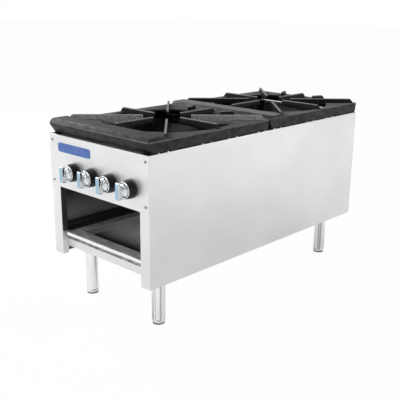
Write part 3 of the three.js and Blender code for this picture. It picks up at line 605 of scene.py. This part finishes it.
def knobBlade():
    # an upright bar: at each height a rounded oblong whose rear edge slopes, its ends drawn in by an
    # ellipse
    k = knob
    v = np.concatenate([[0], (1 - np.cos(np.linspace(0.12, np.pi - 0.12, 30))) / 2, [1]])[:, None]
    z = (v - 0.5) * k["gripHeight"]
    depth = k["footDepth"] + (k["topDepth"] - k["footDepth"]) * v
    half, e = k["gripHeight"] / 2, k["endRounding"]
    endShrink = np.sqrt(np.clip(1 - np.clip((np.abs(z) - half + e) / e, 0, 1) ** 2, 0, 1))
    section = rectangle(2, 2, 0.42, 6)[None]  # runs -1 to 1 both ways
    front = k["gripReach"] - k["stripProud"]
    inset = e * (1 - endShrink)
    x = section[..., 0] * (k["gripWidth"] / 2 - inset)
    y = front - depth / 2 + section[..., 1] * (depth / 2 - inset)
    points = np.stack([x, -y, z + 0 * x], -1)
    return capped(points, points[0].mean(0), points[-1].mean(0))


def knobStrip():
    # a thin oblong slab that stands proud of the bar's front
    k = knob
    outline, proud = rectangle(k["stripWidth"], k["stripHeight"], k["stripCorner"]), k["stripProud"]
    strip = slab(outline, [(0, -1.5), (0, proud - 0.3), (0.4, proud), (3, proud)])
    return movedTo(facingFront(strip), [0, -(k["gripReach"] - proud), 0])


for i in range(1, 5):
    low, high = boxOf(f"knob_{i}_skirt")
    back = [(low[0] + high[0]) / 2, high[1], (low[2] + high[2]) / 2]
    face = [back[0], low[1] - 0.3, back[2]]  # a hair before the skirt's face
    body = f"knob_{i}"
    for part, shell, at, finish, standsFor, slot in [
            ("skirt_moulding", knobSkirt(), back, "resin", [f"{body}_skirt"], "bakelite"),
            ("dial", knobDial(), face, "chrome", [f"{body}_grip"], "chrome"),
            ("dial_inlay", knobDarkRing(), face, "resin", (), "bakelite"),
            ("bar", knobBlade(), face, "chrome", (), "chrome"),
            ("bar_strip", knobStrip(), face, "strip", (), "chrome")]:
        putInScene(f"{body}_{part}", movedTo(shell, at), finish, body, standsFor)
print("knobs done")


# legs and feet

leg = {"radius": 20.65, "wall": 1.75, "plate": 70, "plateCorner": 6, "plateThickness": 4,
       "plateEdge": 0.4, "insert": 20, "hole": 5.3, "sides": 72}
foot = {"radius": 19.3, "height": 15, "padHeight": 4, "stemRadius": 5, "stemLength": 60, "sides": 64}


def plateSides(bottom, top, edge):
    # a slab's profile with both edges taken off
    return [(edge, bottom), (0, bottom + edge), (0, top - edge), (edge, top)]


for corner in ["front_left", "front_right", "rear_left", "rear_right"]:
    low, high = boxOf(f"{corner}_leg")
    middle = [*(low + high)[:2] / 2, 0]
    top, bottom, r = high[2] - leg["plateThickness"], low[2], leg["radius"]
    bore, insertTop = r - leg["wall"], bottom + leg["insert"]
    tubeWall = softened([(leg["hole"], bottom), (r, bottom), (r, top), (bore, top), (bore, insertTop),
                         (leg["hole"], insertTop)], [0.4, 1.2, 0.2, 0.2, 0.4, 0.4], 4, closed=True)
    plate = slab(rectangle(leg["plate"], leg["plate"], leg["plateCorner"]),
                 plateSides(0, leg["plateThickness"], leg["plateEdge"]))
    shell = together([movedTo(turned(tubeWall, leg["sides"], closed=True), middle),
                      movedTo(plate, [*middle[:2], top])])
    putInScene(f"{corner}_leg_tube", shell, "legSteel", "chassis", [f"{corner}_leg"])
    r, h, pad = foot["radius"], foot["height"], foot["padHeight"]
    stem = h + foot["stemLength"]
    profile = [(0, pad), (r - 0.5, pad), (r, pad + 0.5), (r, h - 4.2), (r - 0.9, h - 3.6),
               (r - 0.9, h - 2.6), (r - 0.2, h - 2), (r - 0.2, h - 1.4), (r - 2.2, h),
               (foot["stemRadius"], h), (foot["stemRadius"], stem), (0, stem)]
    putInScene(f"{corner}_foot_body", movedTo(turned(softened(profile, 0.5, 4), foot["sides"]), middle),
               "footSteel", f"{corner}_foot", [f"{corner}_foot"])
    sole = softened([(0, 0), (r - 0.2, 0), (r - 0.1, pad - 0.1), (0, pad - 0.1)], 0.6, 4)
    putInScene(f"{corner}_foot_pad", movedTo(turned(sole, foot["sides"]), middle), "rubber",
               f"{corner}_foot", ())
print("legs and feet done")


# grates: a rimmed plate with a round opening, a broad ledge in front and wedge-shaped ribs

grate = {"halfWidth": 228.6, "halfLength": 264.25, "nose": 2, "standOff": 3.5, "draft": 2, "wall": 8,
         "undercut": 17, "widest": 33, "deckTop": 36, "deckBottom": 27, "opening": 209,
         "openingShift": 27.25, "edge": 2.2, "ledgeTop": 47, "ledgeFront": 10, "ledgeBack": 68,
         "ledgeFoot": 80, "noseRounding": 8, "highlightRim": 33.8, "litStripHalfWidth": 10.6,
         "studRadius": 4, "studHeight": 5, "studSides": 24, "sharp": 50,
         "studs": (-243.3, -89.8, 89.8, 258.2)}
rib = {"top": 52, "root": 22, "topWidth": 7, "rootWidth": 13, "tipDepth": 16, "tip": 60, "cornerTip": 77,
       "shortTip": 188, "deep": 169, "shortDeep": 204, "bevel": 12, "reachX": 225.6, "reachY": 225,
       "cornerInset": 4, "shortAngle": 22.5, "edge": 1.8}

low, high = boxOf("front_grate")
base, black, dull = high[2] - rib["top"], ("121314", "2a2c2e"), (0.62, 0.44)
dark, matt = ("050506", "131415"), (0.56, 0.42)
opening = (low[1] + high[1]) / 2 + grate["openingShift"]
finishes.update({
    # paler streaked upper faces of ledge and deck: painted light; the thin pale line round the nose is a
    # painted highlight
    "frontGrateIron": castIron("blacked_cast_iron", black, dull, litTops=[
        (base + grate["ledgeTop"], "565859"), (base + grate["deckTop"], "626466"),
        (base + grate["highlightRim"], "868889")]),
    # the rear grate's paler streaked upper faces: painted light
    "rearGrateIron": castIron("lit_top_cast_iron", black, dull, litTops=[
        (base + grate["ledgeTop"], "8c8e90"), (base + grate["deckTop"], "767879")]),
    # the front ribs' paler diagonal strip is painted light on their lit sides; on all ribs the paler top
    # edges are partly wear and partly a painted highlight
    "frontRibIron": castIron("lit_strip_cast_iron", dark, matt, high[2],
                             litStrip=(opening, grate["litStripHalfWidth"]), sheen=1.24),
    "rearRibIron": castIron("worn_cast_iron", dark, matt, high[2], sheen=1.24),
})


def billet(outline, half, edge, centre=None):
    # an outline of (across, up) points given thickness: loops go from one side to the other, each
    # drawn in along its own normals by a quarter circle near the sides; half of the thickness is
    # given at each point
    outline = np.asarray(outline, float)
    along = np.roll(outline, -1, 0) - np.roll(outline, 1, 0)
    normal = np.stack([along[:, 1], -along[:, 0]], -1) / np.linalg.norm(along, axis=1, keepdims=True)
    centre = outline.mean(0) if centre is None else np.asarray(centre, float)
    if ((outline - centre) * normal).sum() < 0:
        normal = -normal
    turn = np.linspace(0, np.pi / 2, 5)
    steps = [(edge * (1 - np.sin(a)), edge * (1 - np.cos(a))) for a in turn]
    loops = [(outline - normal * inset, -half + back) for inset, back in steps]
    loops += [(outline - normal * inset, half - back) for inset, back in reversed(steps)]
    points = np.stack([np.stack([loop[:, 0], side, loop[:, 1]], -1) for loop, side in loops])
    return capped(points, *([centre[0], points[k, :, 1].mean(), centre[1]] for k in (0, -1)))


def ribShell(angle, tip, reach, deep):
    # a wedge on edge, thin along its top; its inner end is shallow and it deepens towards the rim
    r = rib
    corners = [(tip, r["top"]), (tip, r["top"] - r["tipDepth"]), (max(deep, tip + 1), r["root"]),
               (reach, r["root"]), (reach, grate["deckTop"]), (reach - r["bevel"], r["top"])]
    outline = softened(corners, [3.5, 3.5, 8, 1, 2, 5], 6, closed=True)
    share = (outline[:, 1] - r["root"]) / (r["top"] - r["root"])
    half = (r["rootWidth"] + (r["topWidth"] - r["rootWidth"]) * share) / 2
    points, faces = billet(outline, half, r["edge"])
    c, s = math.cos(math.radians(angle)), math.sin(math.radians(angle))
    turn = np.array([[c, s, 0], [-s, c, 0], [0, 0, 1]])
    return points @ turn + [0, grate["openingShift"], 0], faces


def grateFrame():
    # loops of a rounded rectangle make the walls; at the opening they become circles, matched by
    # angle; the points crowd towards the corners, which are drawn in a little
    g = grate
    t = np.concatenate([[0, 0.004], np.linspace(0.02, 0.98, 34), [0.996]])[:, None]
    corners = np.array([(-1, -1), (1, -1), (1, 1), (-1, 1)])
    plan = np.vstack([(1 - t) * start + t * end for start, end in zip(corners, np.roll(corners, -1, 0))])
    corner = (np.abs(plan) > 0.9999).all(1)
    plan[corner] *= 0.9955

    def rectangleAt(inset, front, z):  # front is how far the front wall alone is drawn in
        y0, y1 = -g["halfLength"] + front, g["halfLength"] - inset
        x = plan[:, 0] * (g["halfWidth"] - inset)
        return np.stack([x, (y0 + y1) / 2 + plan[:, 1] * (y1 - y0) / 2, z + 0 * x], -1)

    bearing = np.arctan2(plan[:, 1] * g["halfLength"] - g["openingShift"], plan[:, 0] * g["halfWidth"])

    def circleAt(grow, z):  # a loop round the opening, grow outside it
        return polar(g["opening"] + grow, bearing, z) + [0, g["openingShift"], 0]

    hidden, inner = 0.6, g["draft"] + g["wall"]  # hidden keeps the front wall inside the ledge's face
    ceiling = g["undercut"] * (g["widest"] - g["deckBottom"]) / (g["widest"] - g["standOff"]) + g["wall"]
    walls = softened([
        (7, 7, g["deckTop"]), (0, hidden, g["deckTop"]), (0, hidden, g["widest"]),
        (g["draft"], g["undercut"] + hidden, g["standOff"]),
        (inner, g["undercut"] + g["wall"], g["standOff"]), (inner, ceiling, g["deckBottom"] - 0.4),
        (inner + 0.6, ceiling + 0.6, g["deckBottom"])], g["edge"], 5)
    mouth = softened([(6, g["deckBottom"]), (0, g["deckBottom"]), (0, g["deckTop"]), (6, g["deckTop"])],
                     g["edge"], 5)
    loops = [circleAt(*point) for point in mouth] + [rectangleAt(*point) for point in walls]
    return skinned(np.stack(loops), True)


def grateLedge():
    # the broad ledge, its rounded nose and the undercut wall below it, as one bar across the front
    g = grate
    y = -g["halfLength"]
    back = y + g["undercut"]
    corners = [(y - g["nose"], g["widest"] - 0.5), (y + g["ledgeFront"], g["ledgeTop"]),
               (y + g["ledgeBack"], g["ledgeTop"]), (y + g["ledgeFoot"], g["deckTop"] - 2),
               (back + 12, g["deckBottom"] + 3), (back + g["wall"] - 1, g["standOff"]),
               (back, g["standOff"])]
    outline = softened(corners, [g["noseRounding"], 4, 5, 1, 3, 1.5, 2], 7, closed=True)
    up = outline[:, 1]
    taper = np.where(up > g["widest"], (up - g["widest"]) / (g["ledgeTop"] - g["widest"]),
                     (g["widest"] - up) / (g["widest"] - g["standOff"]))
    half, middle = g["halfWidth"] - g["draft"] * taper, (back + 4, g["deckTop"] - 3)
    points, faces = billet(outline, half, 2.5, middle)
    return points[:, [1, 0, 2]], faces


def grateRibs():
    # four straight ribs, four to the corners and two short ones behind
    r = rib
    corner = math.degrees(math.atan2(r["reachY"], r["reachX"]))
    cornerReach = math.hypot(r["reachX"], r["reachY"]) - r["cornerInset"]
    shortReach = r["reachY"] / math.cos(math.radians(r["shortAngle"]))
    ribs = [(a, r["tip"], r["reachY"] if a % 180 else r["reachX"], r["deep"]) for a in (0, 90, 180, 270)]
    ribs += [(a, r["cornerTip"], cornerReach, r["deep"])
             for a in (corner, 180 - corner, 180 + corner, -corner)]
    ribs += [(90 + a, r["shortTip"], shortReach, r["shortDeep"])
             for a in (-r["shortAngle"], r["shortAngle"])]
    return together([ribShell(*sizes) for sizes in ribs])


def grateBody():
    # the frame and its ledge, with round studs under both side walls
    studX = grate["halfWidth"] - grate["draft"] - grate["wall"] / 2
    r, low, high = grate["studRadius"], 0.3, grate["studHeight"]
    stud = turned([(0, low), (r, low), (r, high), (0, high)], grate["studSides"])
    studs = [movedTo(stud, [side * studX, y, 0]) for side in (-1, 1) for y in grate["studs"]]
    return together([grateFrame(), grateLedge(), *studs])


for end in ["front", "rear"]:
    low, high = boxOf(f"{end}_grate")
    at = [0, low[1] + grate["halfLength"] + grate["nose"], high[2] - rib["top"]]
    for part, shell, iron in [("casting", grateBody(), "GrateIron"), ("ribs", grateRibs(), "RibIron")]:
        putInScene(f"{end}_grate_{part}", movedTo(shell, at), end + iron, f"{end}_grate",
                   [f"{end}_grate"], grate["sharp"])
print("grates done")


# small bright buttons in pairs along the casing's top flange, in the gap under the grates
button = {"radius": 3.4, "height": 3, "rounding": 0.5, "sides": 24, "inset": 4, "pitch": 36,
          "firstOfPair": (-472, -294, -178, -36, 47, 235, 352)}
r, h = button["radius"], button["height"]
single = turned(softened([(0, 0), (r, 0), (r, h), (0, h)], button["rounding"], 5), button["sides"])
low, high = boxOf("right_side_panel")
buttons = [movedTo(single, [side * (high[0] - button["inset"]), y + more, high[2]])
           for side in (-1, 1) for y in button["firstOfPair"] for more in (0, button["pitch"])]
putInScene("flange_screws", together(buttons), "footSteel", "chassis", ())

# a flat black rope beside the buttons is painted shade in the gap under the grates; it is cut
# where the grates' studs stand
shadeRope = {"width": 4, "height": 3.2, "corner": 1.5, "edge": 0.6, "inset": 4.6, "studSpace": 14,
        "endSpace": 12, "shortest": 10}
stops = [boxOf(f"{end}_grate")[1][1] - grate["halfLength"] + y
         for end in ("front", "rear") for y in grate["studs"]]
starts = [low[1] + shadeRope["endSpace"]] + [y + shadeRope["studSpace"] / 2 for y in stops]
ends = [y - shadeRope["studSpace"] / 2 for y in stops] + [high[1] - shadeRope["endSpace"]]
ropes = [movedTo(slab(rectangle(shadeRope["width"], end - start, shadeRope["corner"]),
                      plateSides(0, shadeRope["height"], shadeRope["edge"])),
                 [side * (high[0] - shadeRope["inset"]), (start + end) / 2, high[2]])
         for side in (-1, 1) for start, end in zip(starts, ends) if end - start > shadeRope["shortest"]]
putInScene("grate_gap_shade_rope", together(ropes), "gapShadeRope", "chassis", ())
print("buttons and rope done")


# burners: drilled rings on arms, with a mixing tube to each

burner = {"outerRings": (82, 125), "innerRing": 45, "innerRise": 5.3, "ringHeight": 24, "ringHalf": 11,
          "chamfer": 5, "portPitch": 9.5, "portSteps": 8, "portRadius": 1.7, "portDepth": 2.6,
          "armWidth": 12, "armCorner": 3, "armInset": 2, "armHeight": 18, "hubRadius": 36,
          "hubArmHeight": 5, "outerPort": 108, "innerPort": 22, "tubeSides": 28, "tubeRadius": 12,
          "tubeJog": 34, "tubeBend": 26, "tubeInRing": 4, "mouthDepth": 15, "sharp": 32,
          "mouth": ((0, 18), (5, 18), (10, 17.6), (16, 15.2), (20, 13), (24, 12.2))}


def portedRing(radius, bottom, topZ):
    # a section carried round a circle; each port is a round dent, d exp(-(s/r)^4), in both chamfers
    half, c = burner["ringHalf"], burner["chamfer"]
    corners = [(-half, bottom), (half, bottom), (half, topZ - c), (half - c, topZ), (-half + c, topZ),
               (-half, topZ - c)]
    corners, counts = np.array(corners), (3, 3, 9, 3, 9, 3)
    steps = [np.linspace(0, 1, count, endpoint=False)[:, None] for count in counts]
    section = np.vstack([(1 - t) * start + t * end
                         for start, end, t in zip(corners, np.roll(corners, -1, 0), steps)])
    ports = int(2 * math.pi * radius / burner["portPitch"])
    angle = np.linspace(0, 2 * np.pi, ports * burner["portSteps"], endpoint=False)[:, None]
    step = 2 * math.pi / ports
    along = ((angle / step + 0.5) % 1 - 0.5) * step * radius
    dent = np.zeros((len(angle), len(section), 2))
    for side in (1, -1):
        spot = np.array([side * (half - c / 2), topZ - c / 2])
        inward = -np.array([side, 1]) / math.sqrt(2)
        apart = np.linalg.norm(section - spot, axis=1)[None]
        away = (along ** 2 + apart ** 2) / burner["portRadius"] ** 2
        dent += (burner["portDepth"] * np.exp(-away ** 2))[..., None] * inward
    r = radius + section[None, :, 0] + dent[..., 0]
    z = section[None, :, 1] + dent[..., 1]
    return skinned(polar(r, angle, z), True)


def armShells(start, end, bottom, height):
    # four oblong bars from the middle outwards, a quarter turn apart
    bar, faces = slab(rectangle(end - start, burner["armWidth"], burner["armCorner"]), [
        (0.6, bottom), (0, bottom + 0.6), (0, bottom + height - 1.2), (1.2, bottom + height)])
    bar = bar + [(start + end) / 2, 0, 0]
    quarter = np.array([[0, -1, 0], [1, 0, 0], [0, 0, 1]])
    return [(bar @ np.linalg.matrix_power(quarter, turns).T, faces) for turns in range(4)]


def mixingTube(mouth, port, knobLevel, ringBottom):
    # a pipe that flares to its air mouth, runs back at valve height and bends up into the ring
    (mouthX, mouthY), (portX, portY) = mouth, port
    sides, jog = burner["tubeSides"], mouthY + burner["tubeJog"]
    path = softened([(mouthX, mouthY, knobLevel), (mouthX, jog, knobLevel),
                     (portX, (jog + portY) / 2, knobLevel), (portX, portY, knobLevel),
                     (portX, portY, ringBottom + burner["tubeInRing"])], burner["tubeBend"], 9)
    flare = [[mouthX, mouthY + back, knobLevel] for back, r in burner["mouth"]]
    radii = [r for back, r in burner["mouth"]] + [burner["tubeRadius"]] * (len(path) - 1)
    points = hose(np.vstack([flare, path[1:]]), radii, sides)[0].reshape(-1, sides, 3)
    # the air mouth is hollow: the pipe's first end is drawn back inside it
    points[0] = [mouthX, mouthY + burner["mouthDepth"], knobLevel]
    rim, centre = points[1:2].copy(), np.array([mouthX, mouthY, knobLevel])
    rimLoops = [centre + (rim - centre) * share + [0, back, 0]
                for share, back in [(0.61, burner["mouthDepth"]), (0.61, 1), (0.8, 0)]]
    return skinned(np.concatenate([points[:1], *rimLoops, points[1:]]))


knobBoxes = [boxOf(f"knob_{i}_skirt") for i in (1, 2)]
knobXs = [(low[0] + high[0]) / 2 for low, high in knobBoxes]
knobLevel = knobBoxes[0][0][2] + knob["radius"]
for end in ["front", "rear"]:
    low, high = boxOf(f"{end}_outer_burner")
    mouthY, topZ, base = low[1], high[2], high[2] - burner["ringHeight"]
    middleRing, outerRing = burner["outerRings"]
    middleY = high[1] - outerRing - burner["ringHalf"]
    side = 1 if end == "rear" else -1
    portAt = lambda x, r: (x, middleY - math.sqrt(r * r - x * x))
    outerPort, innerPort = side * burner["outerPort"], side * burner["innerPort"]
    mouths = knobXs if end == "front" else [outerPort, innerPort]
    shells = [portedRing(r, base, topZ) for r in burner["outerRings"]]
    inset = burner["armInset"]
    shells += armShells(middleRing + inset, outerRing - inset, base, burner["armHeight"])
    shells += armShells(burner["hubRadius"], middleRing, base, burner["hubArmHeight"])
    tubeOut = mixingTube((mouths[0], mouthY), portAt(outerPort, outerRing), knobLevel, base)
    outer = together([movedTo(together(shells), [0, middleY, 0]), tubeOut])
    putInScene(f"{end}_outer_burner_rings", outer, "burnerIron", "chassis", [f"{end}_outer_burner"],
               burner["sharp"])
    innerBase = base + burner["innerRise"]
    ring = movedTo(portedRing(burner["innerRing"], innerBase, topZ), [0, middleY, 0])
    tubeIn = mixingTube((mouths[1], mouthY), portAt(innerPort, burner["innerRing"]), knobLevel, innerBase)
    putInScene(f"{end}_inner_burner_ring", together([ring, tubeIn]), "burnerIron", "chassis",
               [f"{end}_inner_burner"], burner["sharp"])
print("burners done")


# gas line

gasLine = {"pipeEdge": 0.3, "valveEdge": 0.4}
runs = {"pipe": ["supply_elbow", "manifold_pipe", "manifold_cap", "gas_supply_pipe",
                 "rear_outer_feed_tube", "rear_inner_feed_tube"],
        "shadedSheet": ["front_pilot_tube", "rear_pilot_tube"]}
for finish, nodes in runs.items():
    for node in nodes:
        easedCopy(node, node + "_run", finish, "chassis", gasLine["pipeEdge"], 1)
for i in range(1, 5):
    easedCopy(f"gas_valve_{i}", f"gas_valve_{i}_body", "brass", "chassis",
              gasLine["valveEdge"], 1)
    easedCopy(f"valve_stem_{i}", f"valve_stem_{i}_rod", "pipe", f"knob_{i}",
              gasLine["pipeEdge"], 1)
print("gas line done")


# floor, light and camera; each lamp has its power, size, place and aim

studio = {"floorSize": 40, "floorColour": "f4f4f4", "floorSpeck": "f7f7f7", "floorSeen": 0.97,
          "floorMirrored": 0.3, "horizonLight": 0.95, "overheadLight": 0.2, "lightTop": 0.5,
          "skyMirrored": 0.42, "skyFrom": 0.08, "skyTo": 0.3, "screenMirrored": 0.35,
          "screenFrom": 0.25, "screenTo": 0.65, "screenTowards": (-0.685, 0.729, 0),
          "lamps": {"key_softbox": (60, 2.2, (-1.2, -3.6, 2.2), (0, 0, 0.3)),
                    "side_softbox": (110, 2.2, (-3.4, -0.4, 2.6), (0, 0, 0.3)),
                    "fill_softbox": (82, 2.2, (3.2, 2.7, 2.2), (1.3, 1.8, 0))}}


def studioFloor():
    # a plain sheet that the camera and reflections see almost white, and that still takes a shadow
    material, tree, shader = startMaterial("studio_floor", Roughness=0.9)
    specks = addNode(tree, "TexNoise", (sized(tree, 400, 400, 400), 1, 2, 0.55))
    share = addNode(tree, "MapRange", (specks, 0.3, 0.7, 0, 1))
    fill(tree, shader.inputs["Base Color"],
         addNode(tree, "Mix", (share, studio["floorColour"], studio["floorSpeck"]), data_type="RGBA"))
    rays = addNode(tree, "LightPath").outputs
    glossy, seen = [addNode(tree, "Math", (rays[ray], studio[part]), operation="MULTIPLY")
                    for ray, part in (("Is Glossy Ray", "floorMirrored"), ("Is Camera Ray", "floorSeen"))]
    white = addNode(tree, "Emission", {"Strength": 1.0})
    mixed = addNode(tree, "MixShader", (addNode(tree, "Math", (glossy, seen)), shader, white))
    fill(tree, tree.nodes["Material Output"].inputs["Surface"], mixed)
    return material


h = studio["floorSize"] / 2
floorMesh = bpy.data.meshes.new("studio_floor")
floorMesh.from_pydata([(-h, -h, 0), (h, -h, 0), (h, h, 0), (-h, h, 0)], [], [(0, 1, 2, 3)])
floor = bpy.data.objects.new("studio_floor", floorMesh)
floorMesh.materials.append(studioFloor())
bpy.context.scene.collection.objects.link(floor)

world = bpy.data.worlds.new("studio_world")
bpy.context.scene.world = world
world.use_nodes = True
tree = world.node_tree
tree.nodes.clear()
# white for the camera; light and mirror image are strong near the horizon and weak overhead
rays = addNode(tree, "LightPath").outputs
towards = addNode(tree, "TexCoord").outputs["Generated"]
height = addNode(tree, "SeparateXYZ", {"Vector": towards}).outputs["Z"]
sky = addNode(tree, "MapRange", (height, studio["skyFrom"], studio["skyTo"], 1, studio["skyMirrored"]))
# mirror images also see a grey screen behind the range, which gives round metal its dark edges
facing = addNode(tree, "VectorMath", (towards, studio["screenTowards"]), operation="DOT_PRODUCT")
screen = addNode(tree, "MapRange", (facing.outputs["Value"], studio["screenFrom"], studio["screenTo"], 1,
                                    studio["screenMirrored"]))
glow = addNode(tree, "MapRange", (height, 0, studio["lightTop"], studio["horizonLight"],
                                  studio["overheadLight"]))
reflected = addNode(tree, "Math", (sky, screen), operation="MULTIPLY")
soft, mirrored, plain = [addNode(tree, "Background", ("ffffff", strength))
                         for strength in (glow, reflected, 1.0)]
direct = addNode(tree, "Math", (rays["Is Camera Ray"], rays["Is Transmission Ray"]), operation="MAXIMUM")
lit = addNode(tree, "MixShader", (rays["Is Glossy Ray"], soft, mirrored))
addNode(tree, "OutputWorld", {"Surface": addNode(tree, "MixShader", (direct, lit, plain))})

for name, (power, size, at, aim) in studio["lamps"].items():
    light = bpy.data.lights.new(name, "AREA")
    light.energy, light.size = power, size
    lamp = bpy.data.objects.new(name, light)
    lamp.location = at
    lamp.rotation_euler = (Vector(aim) - Vector(at)).to_track_quat("-Z", "Y").to_euler()
    bpy.context.scene.collection.objects.link(lamp)

# the camera's place and turn were solved from the photograph's straight edges
view = {"at": (1.5680, -1.73385, 0.9710), "back": (0.6558, -0.6982, 0.2871), "roll": 0.588,
        "lens": 61.68, "sensor": 36, "near": 0.05, "far": 100}
camera = bpy.data.objects.new("camera", bpy.data.cameras.new("camera"))
camera.data.lens = view["lens"]
camera.data.sensor_width = view["sensor"]
camera.data.clip_start, camera.data.clip_end = view["near"], view["far"]
back = Vector(view["back"]).normalized()
right = Vector((0, 0, 1)).cross(back).normalized()
roll = math.radians(view["roll"])
turnedRight = right * math.cos(roll) + back.cross(right) * math.sin(roll)
camera.location = view["at"]
camera.rotation_mode = "QUATERNION"
axes = Matrix([turnedRight, back.cross(turnedRight), back])
camera.rotation_quaternion = axes.transposed().to_quaternion()
bpy.context.scene.collection.objects.link(camera)
bpy.context.scene.camera = camera
bpy.context.scene.view_settings.view_transform = "Standard"
print("studio done")

bpy.context.view_layer.update()
